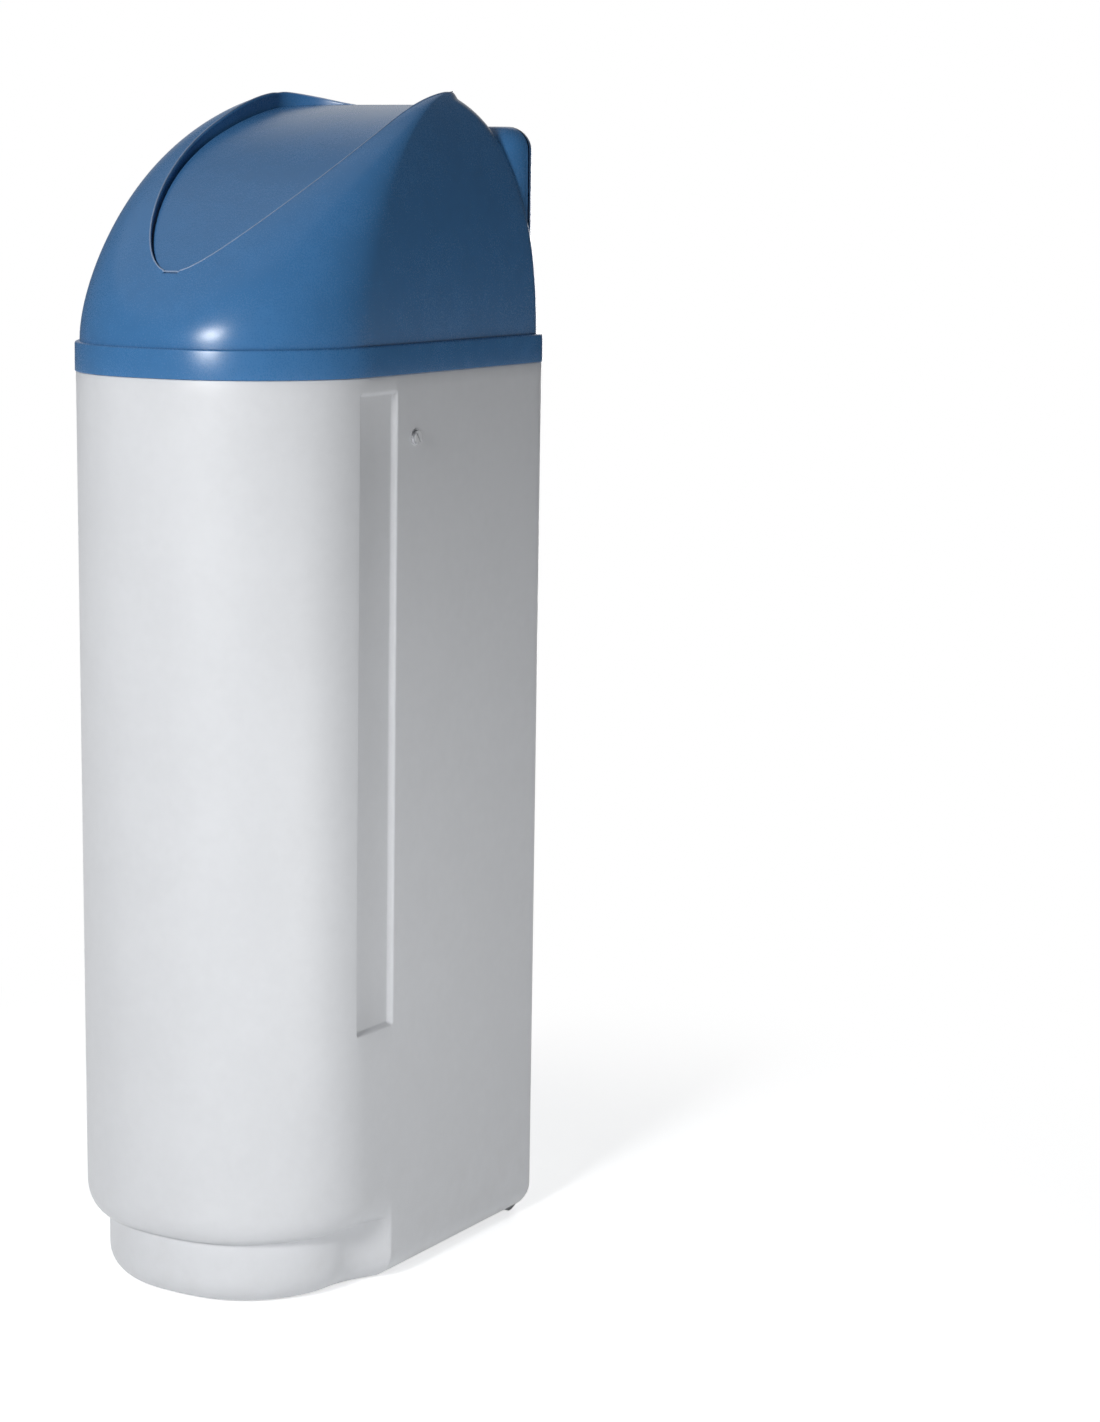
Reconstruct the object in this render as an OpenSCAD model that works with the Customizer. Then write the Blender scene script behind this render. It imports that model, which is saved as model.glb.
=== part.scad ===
// Cabinet water softener with a lift-off hood, in millimetres.
// Origin: centre of the footprint on the floor. +Z is up, the front faces -Y, +X is on the right of the front.

/* [Cabinet] */
// Width at the shoulder that the hood stands on
cabinet_w = 310; // [296:1:340]
// Depth at the shoulder
cabinet_d = 464; // [450:1:500]
// Height of the shoulder above the floor
cabinet_h = 885; // [840:1:940]
// Wall of the blow-moulded cabinet
wall = 4; // [3:0.5:6]
// How much each side draws in from the shoulder to the floor
draft = 5; // [0:0.5:8]
// Radius of the bowed front in plan
front_bow_r = 300; // [290:5:480]
// Radius of the two front corners in plan
corner_r = 141; // [120:1:145]
// Radius of the two rear corners in plan
rear_r = 19; // [10:1:30]
// Rounding of the bottom edge
bottom_r = 28; // [15:1:35]
// Height of the set-back foot
foot_h = 64; // [45:1:80]
// How far the foot is set back
foot_step = 21; // [10:1:28]
// Height over which the body curves in to the foot
foot_blend = 29; // [15:1:40]
// Length of the flare that brings the foot out to the side
flare_l = 56; // [30:1:62]
// Rear edge of the side recess and of the flare
recess_rear_y = -46; // [-60:1:-40]
// Length of the side recess from front to rear
recess_l = 62; // [40:1:66]
// Depth of the side recess
recess_depth = 5; // [2:0.5:6]
// Lower end of the side recess
recess_z0 = 256; // [150:1:400]
// Upper end of the side recess, below the shoulder
recess_top_gap = 14; // [10:1:60]

/* [Deck] */
// Height of the deck's top above the shoulder
deck_rise = 16; // [12:1:24]
// Thickness of the deck moulding
deck_t = 4; // [3:0.5:5]
// Step from the cabinet's side in to the deck's rim
deck_inset = 5; // [4.5:0.5:8]
// Rounding of the deck's rim
deck_edge_r = 8; // [4:1:10]
// Depth of the deck's skirt inside the cabinet
skirt_depth = 75; // [70:1:100]
// Height of the raised rear part of the deck
pad_rise = 7; // [4:0.5:8]
// Distance from the tank's axis forward to the raised rear part's edge
pad_ahead = 37; // [31:1:45]
// Place of the two side screws along the cabinet
screw_y = -15; // [-30:1:20]
// Side screws below the shoulder
screw_drop = 61; // [50:1:66]
// Radius of a side screw's pan head
screw_head_r = 6.8; // [5:0.1:8]

/* [Salt lid] */
// Space beside the salt lid
lid_side = 20; // [19:1:40]
// Space before and behind the salt lid, together
lid_ends = 27; // [26:1:60]
// How far the salt lid's rim laps over the deck
lid_lap = 9; // [8:1:14]
// Height of the salt lid's rim
lid_rim_h = 6; // [4:1:9]

/* [Hood] */
// Top of the hood above the shoulder
hood_rise = 270; // [262:1:290]
// Height of the hood's skirt
hood_skirt_h = 28; // [20:1:34]
// How far the hood's skirt stands out past the cabinet
hood_proud = 1; // [0.5:0.5:3]
// Step from the skirt in to the dome
hood_step = 5; // [3:0.5:7]
// Wall of the hood
hood_wall = 3; // [2:0.5:4]
// Distance of the crest from the rear face
crest_back = 105; // [98:1:112]
// Distance from the cabinet's side in to a peak of the hood
peak_side = 55; // [49:1:57]
// Distance from the cabinet's side in to the rear hump
hump_side = 12; // [9:1:25]
// Top of the rear hump below the hood's top
hump_drop = 35; // [32:1:60]
// Edge rounding of the rear hump
hump_r = 24; // [8:1:28]
// Half width of the pipe opening at the rear
pipe_gap_x = 92; // [88:1:110]
// Top of the pipe opening above the shoulder
pipe_gap_h = 122; // [112:1:150]

/* [Visor] */
// Distance from the cabinet's side in to the visor
visor_side = 55; // [53:1:61]
// Depth of the visor's tip below the hood's surface
visor_tip_in = 2.5; // [1:0.1:4]
// Height of the visor's tip above the shoulder
visor_tip_h = 94; // [90:1:100]
// Depth of the visor's surface below the peaks
visor_drop = 14; // [10:0.5:18]
// Length over which the visor's outline widens
visor_round_l = 210; // [150:5:260]
// Length over which the recess closes in behind the crest
visor_rear_l = 50; // [40:1:56]
// How far the visor reaches behind its hinge
visor_tail = 28; // [20:1:32]
// Thickness of the visor
visor_t = 3; // [2:0.5:4]
// Gap between the visor and the hood
visor_gap = 1.5; // [1:0.1:3]
// Width of the ledge that the visor rests on
visor_ledge = 12; // [8:1:20]
// Radius of the visor's hinge barrel
hinge_r = 3.8; // [3.5:0.1:4.5]
// Radius of the visor's hinge pins
hinge_pin_r = 2.2; // [1.8:0.1:2.6]

/* [Tank] */
// Distance from the cabinet's side in to the resin tank
tank_side = 54; // [47:0.5:60]
// Wall of the resin tank
tank_wall = 3; // [2:0.5:5]
// Gap behind the tank
tank_back_gap = 12; // [6:1:16]
// Radius of the white tank neck
neck_r = 50; // [46:1:52]
// Height of the tank neck above the raised deck
neck_rise = 4; // [3:1:10]
// Radius of the threaded hole in the neck
neck_bore_r = 31.5; // [30:0.5:34]
// Radius of the riser tube
riser_r = 13.4; // [12:0.1:14]
// Top of the resin bed above the floor
resin_top = 610; // [300:10:700]

/* [Valve] */
// Height of the valve's base plate above the neck
plate_rise = 35; // [32:1:40]
// Thickness of the base plate
plate_t = 14; // [10:1:18]
// Half width of the base plate
plate_x = 60; // [56:1:66]
// Height of the valve block above the base plate
block_h = 52; // [48:1:56]
// Half width of the valve block
block_x = 38; // [34:1:42]
// Number of valve discs and cams
disc_count = 7; // [5:1:7]
// Distance from one valve disc to the next
disc_pitch = 16; // [15:0.5:16.5]
// Radius of the camshaft
cam_shaft_r = 5; // [4:0.1:5.5]
// Base radius of a cam
cam_r = 11; // [9:0.5:12]
// Lift of a cam
cam_lift = 6; // [3:0.5:6]
// Tooth module of the drive gears
gear_module = 0.9; // [0.8:0.05:0.95]
// Teeth of the camshaft gear
gear_teeth = 54; // [45:1:54]
// Teeth of the motor pinion
pinion_teeth = 18; // [17:1:20]
// Radius of the drive motor
motor_r = 19; // [15:0.5:20]
// Half width of the valve cover
cover_x = 63; // [61:1:66]
// Wall of the valve cover
cover_wall = 2.5; // [2:0.1:3]
// Radius of the two inspection caps
cap_r = 12; // [10:0.5:13]
// Distance from the middle to each water port
port_x = 36; // [32:1:42]
// Radius of the water ports' threaded ends
port_r = 13.2; // [12:0.1:16.6]
// Length of the water ports' threaded ends
port_l = 18; // [14:1:20]

/* [Controller] */
// Lean of the controller's face
face_tilt = 21; // [16:1:22]
// Width of the controller's bezel
bezel_w = 148; // [140:1:152]
// Height of the controller's bezel along its face
bezel_h = 122; // [116:1:126]
// Depth of the bezel's frame
bezel_d = 16; // [14:0.5:17]
// Bevel from the bezel's rear edge in to its front
bezel_bevel = 7; // [4:0.5:10]
// Width of the face plate
plate_w = 118; // [100:1:122]
// Height of the face plate
plate_h = 54; // [44:1:56]
// Width of the display window
lcd_w = 64; // [50:1:80]
// Height of the display window
lcd_h = 29; // [20:1:36]
// How much each side of the face plate draws in towards its foot
plate_taper = 4; // [0:0.5:6]
// Travel of the push buttons
press = 1; // [0.6:0.1:1.1]

/* [Brine] */
// Radius of the brine well
well_r = 40; // [36:1:41]
// Distance from the cabinet's side in to the brine well's axis
well_side = 58; // [57:1:61]
// Distance from the tank's axis forward to the brine well's
well_ahead = 112; // [110:1:117]
// Radius of the brine tube
tube_r = 4.75; // [4:0.05:5]
// Place of the upright brine tube on the right
tube_x = 123; // [120:1:125]
// Radius of the air check cup
cup_r = 21; // [19:0.5:22]
// Height of the air check cup
cup_h = 66; // [60:1:70]
// Place of the air check cup on the right
cup_x = 85; // [84:1:88]
// Radius of the float in the brine well
float_r = 25; // [20:0.5:26]
// Height of the salt grid above the floor
grid_z = 120; // [90:1:160]
// Height of the overflow above the floor
overflow_z = 650; // [500:10:760]

/* [Fits] */
// Running clearance on a radius
run_fit = 0.05; // [0.02:0.01:0.1]
// Clearance around a fixed piece
seat_fit = 0.3; // [0.2:0.05:0.5]

/* [Hidden] */
$fn = 72;
far = 600;
half_w = cabinet_w / 2;
front_y = -cabinet_d / 2;
rear_y = cabinet_d / 2;
recess_z1 = cabinet_h - recess_top_gap;
recess_front_y = recess_rear_y - recess_l;
flare_front_y = recess_rear_y - flare_l;
bevel = recess_depth;
ledge_z = cabinet_h - skirt_depth;
skirt_inset = wall + recess_depth + 2 * seat_fit;
skirt_t = 4;
deck_z = cabinet_h + deck_rise;
pad_z = deck_z + pad_rise;
screw_z = cabinet_h - screw_drop;
screw_shank_r = 2.4;
tank_r = half_w - tank_side;
tank_y = rear_y - wall - tank_back_gap - tank_r;
pad_front_y = tank_y - pad_ahead;
lid_r = min(half_w - lid_side, (tank_y - neck_r - front_y - lid_ends) / 2);
salt_hole_r = lid_r - lid_lap;
salt_hole_y = front_y + lid_ends / 2 - 0.5 + lid_r;
peak_x = half_w - peak_side;
hump_x = half_w - hump_side;
visor_x = half_w - visor_side;
well_x = half_w - well_side;
well_y = tank_y - well_ahead;
neck_z = pad_z + neck_rise;
plate_z = neck_z + plate_rise;
block_z = plate_z + plate_t;
block_top = block_z + block_h;
block_front_y = tank_y - 109;
block_rear_y = tank_y + 67;
manifold_y = tank_y + 75;
manifold_d = 22;
port_z = neck_z + 37;
top_plate_t = 6;
top_plate_z = block_top + seat_fit;
cam_z = top_plate_z + 34;
disc_y0 = tank_y - 45;
drain_y = tank_y - 45;
gear_y = tank_y - 73;
gear_t = 6;
gear_r = gear_module * gear_teeth / 2;
pinion_r = gear_module * pinion_teeth / 2;
motor_x = -(gear_r + pinion_r);
cover_z0 = block_top + 19;
cover_y0 = tank_y - 117;
cover_y1 = tank_y + 92;
face_y = tank_y - 160;
face_z = plate_z + 82;
face_in = 5;
panel_z = -28;
plate_mid_z = 13;
lcd_mid_x = 11;
hood_top = cabinet_h + hood_rise;
dome_z = cabinet_h + hood_skirt_h;
crest_y = rear_y - crest_back;
hood_w = cabinet_w + 2 * hood_proud;
hood_d = cabinet_d + 2 * hood_proud;
hump_top = hood_top - hump_drop;
visor_top = hood_top - visor_drop;
visor_tip_z = cabinet_h + visor_tip_h;
hinge_y = crest_y - 15;
cup_y = tank_y + 3;
cup_z = plate_z + 20;
elbow_z = cup_z + cup_h - 9;
tube_down_x = well_x + 28;
overflow_x = 45 - half_w;
caps = [[tank_y - 95, block_z + 38], [tank_y - 54, block_z + 24]];
buttons = [["down", -34, 6, 4], ["set", -16, 8.6, 4.8], ["up", 3, 6, 4], ["start", 29, 7.2, 7.2]];

// Colours of the finished parts
white = [0.93, 0.94, 0.95];
blue = [0.20, 0.42, 0.66];
black = [0.10, 0.11, 0.11];
charcoal = [0.22, 0.22, 0.23];
grey = [0.60, 0.62, 0.64];
pale = [0.78, 0.82, 0.86];
clear = [0.85, 0.88, 0.90, 0.5];
brass = [0.80, 0.62, 0.25];
steel = [0.72, 0.73, 0.75];
amber = [0.62, 0.36, 0.12];
green = [0.10, 0.35, 0.20];

// Points with outward normals along a plan arc: angle 0 faces the front, 90 the right, 180 the rear
function arc(c, r, a0, a1, n) =
  [for (i = [0:n]) let (a = a0 + (a1 - a0) * i / n)
    [[c[0] + r * sin(a), c[1] - r * cos(a)], [sin(a), -cos(a)]]];

function sorted(v) = len(v) < 2 ? v : let (p = v[0])
  concat(sorted([for (x = v) if (x < p) x]), [p], sorted([for (x = v) if (x > p) x]));

// Right half of a bowed plan, from the middle of the front to the middle of the rear
function half_plan(hw, yf, yr, rc, rr, rf, sides, fine) =
  let (a = asin((hw - rc) / (rf - rc)))
  let (cy = yf + rf - (rf - rc) * cos(a))
  let (turns = sorted(concat([for (i = [0:fine]) a + (90 - a) * i / fine],
    [for (y = sides) if (y < cy - 0.5 && y > cy - rc * 0.9) acos((cy - y) / rc)])))
  concat(
    arc([0, yf + rf], rf, 0, a * (1 - 0.5 / fine), max(2, floor(fine / 4))),
    [for (t = turns) [[hw - rc + rc * sin(t), cy - rc * cos(t)], [sin(t), -cos(t)]]],
    [for (y = sides) if (y > cy + 0.5 && y < yr - rr - 0.5) [[hw, y], [1, 0]]],
    arc([hw - rr, yr - rr], rr, 90, 180, max(3, floor(fine / 3))),
    [[[0, yr], [0, 1]]]);

// The whole plan, anticlockwise from the middle of the front
function plan(half) =
  let (m = len(half))
  concat(half, [for (i = [m - 2:-1:1]) [[-half[i][0][0], half[i][0][1]], [-half[i][1][0], half[i][1][1]]]]);

// One level ring of a plan, drawn in by an amount
function ring(outline, z, inset) =
  [for (q = outline) [q[0][0] - q[1][0] * inset, q[0][1] - q[1][1] * inset, z]];

// A closed solid through rings that have equal numbers of points
module skin(rings) {
  n = len(rings[0]);
  m = len(rings);
  first = [for (i = [0:n - 1]) i];
  last = [for (i = [n - 1:-1:0]) (m - 1) * n + i];
  sides = [for (j = [0:m - 2]) for (i = [0:n - 1]) let (k = (i + 1) % n)
    each [[j * n + i, (j + 1) * n + i, (j + 1) * n + k], [j * n + i, (j + 1) * n + k, j * n + k]]];
  polyhedron(points = [for (r = rings) each r], faces = concat([first], sides, [last]));
}

// A cubic curve through its first and last points
function curve(p, t) =
  p[0] * pow(1 - t, 3) + p[1] * 3 * t * pow(1 - t, 2) + p[2] * 3 * t * t * (1 - t) + p[3] * pow(t, 3);

// Where a curve that rises all the way reaches a value of one coordinate, by halving
function reach(p, axis, value, lo = 0, hi = 1, n = 24) =
  let (mid = (lo + hi) / 2)
  n == 0 ? curve(p, mid) :
  curve(p, mid)[axis] < value ? reach(p, axis, value, mid, hi, n - 1) : reach(p, axis, value, lo, mid, n - 1);

// A smooth path through hand-picked points
function spline(p, steps) =
  [for (i = [0:len(p) - 2]) for (s = [0:steps - 1]) let (t = s / steps)
    let (a = p[max(0, i - 1)], b = p[i], c = p[i + 1], d = p[min(len(p) - 1, i + 2)])
    0.5 * (2 * b + (c - a) * t + (2 * a - 5 * b + 4 * c - d) * t * t + (3 * b - a - 3 * c + d) * pow(t, 3))];
function unit(v) = v / norm(v);

// A round cord along a path: side is a direction that the path never runs along
module cord(path, r, side, corners) {
  m = len(path);
  skin([for (i = [0:m - 1])
    let (along = unit(path[min(m - 1, i + 1)] - path[max(0, i - 1)]))
    let (across = unit(cross(along, side)), up = cross(across, along))
    [for (k = [0:corners - 1]) let (a = 360 * k / corners) path[i] + r * (across * cos(a) + up * sin(a))]]);
}

// A bar along X, along Y, and a bar with rounded upright edges
module bar_x(r, x0, x1, y, z) translate([min(x0, x1), y, z]) rotate([0, 90, 0]) cylinder(r = r, h = abs(x1 - x0));
module bar_y(r, y0, y1, x, z) translate([x, y0, z]) rotate([-90, 0, 0]) cylinder(r = r, h = y1 - y0);
module block(x0, x1, y0, y1, z0, z1) translate([x0, y0, z0]) cube([x1 - x0, y1 - y0, z1 - z0]);
module slab(hx, y0, y1, z0, z1, r) {
  block(-hx, hx, y0 + r, y1 - r, z0, z1);
  block(r - hx, hx - r, y0, y1, z0, z1);
  for (x = [r - hx, hx - r], y = [y0 + r, y1 - r])
    translate([x, y, z0]) cylinder(r = r, h = z1 - z0);
}
module tube(r_out, r_in, z0, z1) translate([0, 0, z0]) difference() {
  cylinder(r = r_out, h = z1 - z0);
  translate([0, 0, -1]) cylinder(r = r_in, h = z1 - z0 + 2);
}
module at_tank() translate([0, tank_y, 0]) children();
module at_cup() translate([cup_x, cup_y, 0]) children();
module at_well() translate([well_x, well_y, 0]) children();
module on_face() translate([0, face_y, face_z]) rotate([-face_tilt, 0, 0]) children();

// Share of the foot's set-back at a height, and at a place along the side
function foot_share(z) =
  let (u = (foot_h + foot_blend - z) / foot_blend)
  u >= 1 ? 1 : u <= 0 ? 0 : 1 - sqrt(1 - u * u);
function flare_share(y) =
  let (t = (y - flare_front_y) / flare_l)
  t <= 0 ? 1 : t >= 1 ? 0 : cos(90 * t);
// Share of the side recess at a height or a place between two ends
function between(v, lo, hi) = max(0, min(1, (v - lo) / bevel, (hi - v) / bevel));
side_ys = concat(
  [for (i = [0:5]) flare_front_y + flare_l * i / 5],
  [recess_front_y, recess_front_y + bevel, recess_rear_y - bevel, recess_rear_y + 0.6, 60, 160]);
cabinet_plan = plan(half_plan(half_w, front_y, rear_y, corner_r, rear_r, front_bow_r, sorted(side_ys), 11));
// One ring of the cabinet: edge is the rounding's share, extra the wall
function cabinet_ring(z, zs, edge, extra) =
  [for (q = cabinet_plan)
    let (on_side = abs(q[1][0]) > 0.7 ? 1 : 0)
    let (groove = on_side * recess_depth * between(zs, recess_z0, recess_z1)
      * between(q[0][1], recess_front_y, recess_rear_y))
    let (foot = foot_step * foot_share(zs) * flare_share(q[0][1]))
    let (inset = draft * (1 - zs / cabinet_h) + edge + extra + groove + foot)
    [q[0][0] - q[1][0] * inset, q[0][1] - q[1][1] * inset, z]];
blend_zs = [for (k = [0:4]) foot_h + foot_blend * (1 - cos(22.5 * k))];
recess_zs = [recess_z0, recess_z0 + bevel, recess_z1 - bevel, recess_z1];
function round_ring(r, a, extra) = cabinet_ring(extra + r * (1 - cos(a)), r * (1 - cos(a)), r * (1 - sin(a)), extra);

module cabinet() {
  outer = concat(
    [for (a = [0, 30, 60, 90]) round_ring(bottom_r, a, 0)],
    [for (z = blend_zs) cabinet_ring(z, z, 0, 0)],
    [for (z = recess_zs) cabinet_ring(z, z, 0, 0)],
    [cabinet_ring(cabinet_h, cabinet_h, 0, 0)]);
  ledge = skirt_inset + skirt_t + 2;
  inner = concat(
    [cabinet_ring(cabinet_h, cabinet_h, 0, wall)],
    [cabinet_ring(recess_z1, recess_z1, 0, wall)],
    [cabinet_ring(recess_z1 - bevel, recess_z1 - bevel, 0, wall)],
    [cabinet_ring(ledge_z, ledge_z, 0, wall)],
    [ring(cabinet_plan, ledge_z, ledge)],
    [ring(cabinet_plan, ledge_z - 10, ledge)],
    [cabinet_ring(ledge_z - 26, ledge_z - 26, 0, wall)],
    [cabinet_ring(recess_z0 + bevel, recess_z0 + bevel, 0, wall)],
    [cabinet_ring(recess_z0, recess_z0, 0, wall)],
    [for (k = [4, 2, 0]) cabinet_ring(blend_zs[k], blend_zs[k], 0, wall)],
    [for (a = [90, 45, 0]) round_ring(bottom_r - wall, a, wall)]);
  color(white) difference() {
    skin(concat(outer, inner));
    bar_x(screw_shank_r + 0.4, -far, far, screw_y, screw_z);
    bar_y(11, rear_y - 30, rear_y + 30, overflow_x, overflow_z);
  }
}

deck_plan = plan(half_plan(half_w, front_y, rear_y, corner_r, rear_r, front_bow_r, [-40, 60, 160], 11));
// The deck with its raised rear part, the holes and the bosses for the side screws
module top_deck() {
  in_wall = skirt_inset + skirt_t;
  e = deck_edge_r;
  rings = [
    ring(deck_plan, deck_z - deck_t, in_wall),
    ring(deck_plan, ledge_z, in_wall),
    ring(deck_plan, ledge_z, skirt_inset),
    ring(deck_plan, cabinet_h, skirt_inset),
    ring(deck_plan, cabinet_h, deck_inset),
    ring(deck_plan, deck_z - e, deck_inset),
    ring(deck_plan, deck_z - e * 0.5, deck_inset + e * 0.134),
    ring(deck_plan, deck_z - e * 0.134, deck_inset + e * 0.5),
    ring(deck_plan, deck_z, deck_inset + e)];
  pad = [for (p = ring(deck_plan, 0, deck_inset + e + 1)) if (p[1] > pad_front_y) [p[0], p[1]]];
  pad_x = max([for (p = pad) p[0]]);
  boss_x = half_w - draft * screw_drop / cabinet_h - wall - 0.2;
  color(white) difference() {
    union() {
      skin(rings);
      translate([0, 0, deck_z - 1]) linear_extrude(height = pad_rise + 1)
        polygon(concat(pad, [[-pad_x, pad_front_y], [pad_x, pad_front_y]]));
      for (s = [-1, 1]) bar_x(8, s * (half_w - skirt_inset - skirt_t / 2), s * boss_x, screw_y, screw_z);
    }
    translate([0, salt_hole_y, ledge_z]) cylinder(r = salt_hole_r, h = far);
    at_tank() translate([0, 0, ledge_z]) cylinder(r = neck_r + 2.5, h = far);
    translate([tube_x, cup_y, ledge_z]) cylinder(r = tube_r + 2, h = far);
    block(tube_x - 14, far, pad_front_y - 10, cup_y + 12, deck_z, deck_z + far);
    for (s = [-1, 1]) bar_x(screw_shank_r + 0.1, s * (half_w - skirt_inset - skirt_t - 5), s * far, screw_y, screw_z);
  }
}

module deck_screws() {
  face_x = half_w - draft * screw_drop / cabinet_h + 0.05;
  color(steel) for (s = [-1, 1]) difference() {
    union() {
      bar_x(screw_head_r + 1.4, s * face_x, s * (face_x + 1), screw_y, screw_z);
      bar_x(screw_head_r, s * (face_x + 1), s * (face_x + 3.6), screw_y, screw_z);
      bar_x(screw_shank_r, s * (face_x - 18), s * (face_x + 1), screw_y, screw_z);
    }
    translate([s * (face_x + 3.6), screw_y, screw_z]) rotate([35, 0, 0]) cube([2.4, 1.4, 4 * screw_head_r], center = true);
  }
}

// A dished lid: the rim lies on the deck and a ring below locates it in the salt hole
module salt_lid() {
  r_in = salt_hole_r - 2;
  profile = [[0, -1], [r_in - 14, -1], [r_in - 6, -1], [r_in - 3, -9], [r_in, -9], [r_in, 0], [lid_r, 0],
    [lid_r, lid_rim_h - 2], [lid_r - 2, lid_rim_h], [lid_r - 8, lid_rim_h], [r_in - 10, 2.5], [0, 2.5]];
  color(black) translate([0, salt_hole_y, deck_z]) {
    rotate_extrude() polygon(profile);
    translate([r_in - 30, 20, 1]) cylinder(r = 5, h = 3);
  }
}

// Hood: three profiles rise from the dome's foot to the crest
hood_x0 = half_w + hood_proud - hood_step;
dome_end = dome_z + (hood_top - dome_z) / 0.99;
front_curve = [[front_y - hood_proud + hood_step, dome_z], [front_y - hood_proud + hood_step, dome_z + 90],
  [crest_y - 147, dome_end - 35], [crest_y, dome_end]];
side_curve = [[hood_x0, dome_z], [hood_x0, dome_z + 127], [peak_x + 40, dome_end - 35], [peak_x, dome_end]];
rear_curve = [[rear_y + hood_proud - hood_step, dome_z], [rear_y + hood_proud - hood_step, dome_z + 127],
  [crest_y + 78, dome_end - 0.5], [crest_y, dome_end]];
dome_levels = [0, 0.06, 0.13, 0.2, 0.27, 0.34, 0.41, 0.48, 0.55, 0.62, 0.69, 0.76, 0.82, 0.88, 0.93, 0.97, 0.99];
function dome_ring(u, inset, drop) =
  let (z = dome_z + (dome_end - dome_z) * u)
  let (yf = reach(front_curve, 1, z)[0], yr = reach(rear_curve, 1, z)[0], hw = reach(side_curve, 1, z)[0])
  let (rc = min(10 + (corner_r - hood_step - 10) * pow(cos(90 * u), 1.8), 0.4 * (yr - yf)))
  let (rr = min(rear_r + 27 * pow(u, 2.2), 0.55 * (yr - yf)))
  let (rf = front_bow_r / max(0.08, 1 - u))
  ring(plan(half_plan(hw, yf, yr, rc, rr, rf, [], 12)), z - drop, min(inset, 0.3 * (yr - yf)));
hood_plan = plan(half_plan(half_w, front_y, rear_y, corner_r, rear_r, front_bow_r, [], 12));

module dome_outer() {
  skin(concat(
    [ring(hood_plan, cabinet_h, -hood_proud), ring(hood_plan, dome_z - 2, -hood_proud)],
    [ring(hood_plan, dome_z - 0.5, 1 - hood_proud)],
    [for (u = dome_levels) dome_ring(u, 0, 0)]));
}
module dome_inner() {
  w = hood_wall;
  skin(concat(
    [ring(hood_plan, cabinet_h - 1, deck_inset - 1), ring(hood_plan, dome_z - 3, deck_inset - 1)],
    [for (u = [0, 0.13, 0.27, 0.41, 0.55, 0.69, 0.82, 0.93]) dome_ring(u, w, w)]));
}

// The square hump behind the crest, rounded along its edges
module hump(inset) {
  x = hump_x - inset;
  r = hump_r - inset;
  y1 = rear_y + hood_proud - inset;
  z0 = dome_z - 10;
  z1 = hump_top - inset;
  hull() for (s = [-1, 1]) {
    translate([s * (x - r), y1 - r, z0]) cylinder(r = r, h = 1, $fn = 24);
    translate([s * (x - r), y1 - r, z1 - r]) sphere(r = r, $fn = 24);
    translate([s * (x - r), crest_y + 20, z0]) cylinder(r = r, h = 1, $fn = 24);
    translate([s * (x - r), crest_y + 20, z1 - r]) sphere(r = r, $fn = 24);
  }
}

// Visor band: its outline in plan and the profile of its surface
visor_tip = [reach(front_curve, 1, visor_tip_z)[0] + visor_tip_in, visor_tip_z];
visor_widest_y = crest_y - 5;
recess_end_y = visor_widest_y + visor_rear_l;
visor_end_y = hinge_y + visor_tail;
function visor_half(y) = visor_x * pow(sin(90 * max(0.004, min(1, (y - visor_tip[0]) / visor_round_l))), 0.55)
  * pow(max(0.0004, 1 - max(0, y - visor_widest_y) / visor_rear_l), 0.55);
visor_curve = [visor_tip, visor_tip + [88, 78], [crest_y - 85, visor_top + 3], [recess_end_y, visor_top]];
visor_ts = [0, 0.002, 0.006, 0.013, 0.025, 0.04, 0.06, 0.09, 0.13, 0.18, 0.24, 0.31, 0.39, 0.48, 0.57, 0.66, 0.75,
  0.82, 0.87, 0.91, 0.945, 0.97, 0.985, 1];
// A band under the visor's outline: grow widens it, and its floor lies some way below the visor's surface
module band(grow, below, top, y_start, y_end) {
  mid = [for (t = visor_ts) let (p = curve(visor_curve, t)) if (p[0] > y_start + 1 && p[0] < y_end - 1) p];
  tip = y_start <= visor_tip[0] ? [visor_tip] : [reach(visor_curve, 0, y_start)];
  shift = y_start <= visor_tip[0] ? max(0, grow) : 0;
  pts = concat(tip, mid, [reach(visor_curve, 0, y_end)]);
  skin([for (p = pts) let (w = max(0.4, visor_half(p[0]) + grow), y = p[0] - (p == pts[0] ? shift : 0))
    let (z1 = top > 0 ? top : p[1] + top)
    [[-w, y, p[1] - below], [-w, y, z1], [w, y, z1], [w, y, p[1] - below]]]);
}

module hood_shell() {
  floor_z = visor_t + 0.5;
  tray = visor_gap + hood_wall;
  high = hood_top + 60;
  ledge_y = hinge_y - 9;
  cheek_x = visor_x + visor_gap;
  difference() {
    union() {
      difference() {
        union() {
          dome_outer();
          hump(0);
        }
        dome_inner();
        hump(hood_wall);
      }
      intersection() {
        dome_outer();
        union() {
          band(tray, floor_z + hood_wall, high, -far, recess_end_y);
          for (s = [-1, 1]) translate([s * (cheek_x + 2), hinge_y, hinge_z]) cube([8, 16, 18], center = true);
        }
      }
    }
    band(visor_gap, floor_z, high, -far, visor_end_y + visor_gap);
    band(visor_gap, 0, high, visor_end_y, recess_end_y);
    band(-visor_ledge, far / 4, high, visor_tip[0] + visor_ledge, ledge_y);
    band(visor_gap, 40, high, ledge_y, visor_end_y + visor_gap);
    bar_x(bush_r + 0.12, -cheek_x - hood_wall, cheek_x + hood_wall, hinge_y, hinge_z);
    block(-pipe_gap_x, pipe_gap_x, rear_y - 60, rear_y + 20, cabinet_h - 1, cabinet_h + pipe_gap_h - 30);
    hull() for (s = [-1, 1]) translate([s * (pipe_gap_x - 30), rear_y - 60, cabinet_h + pipe_gap_h - 30])
      rotate([-90, 0, 0]) cylinder(r = 30, h = 80, $fn = 32);
  }
}
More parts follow.
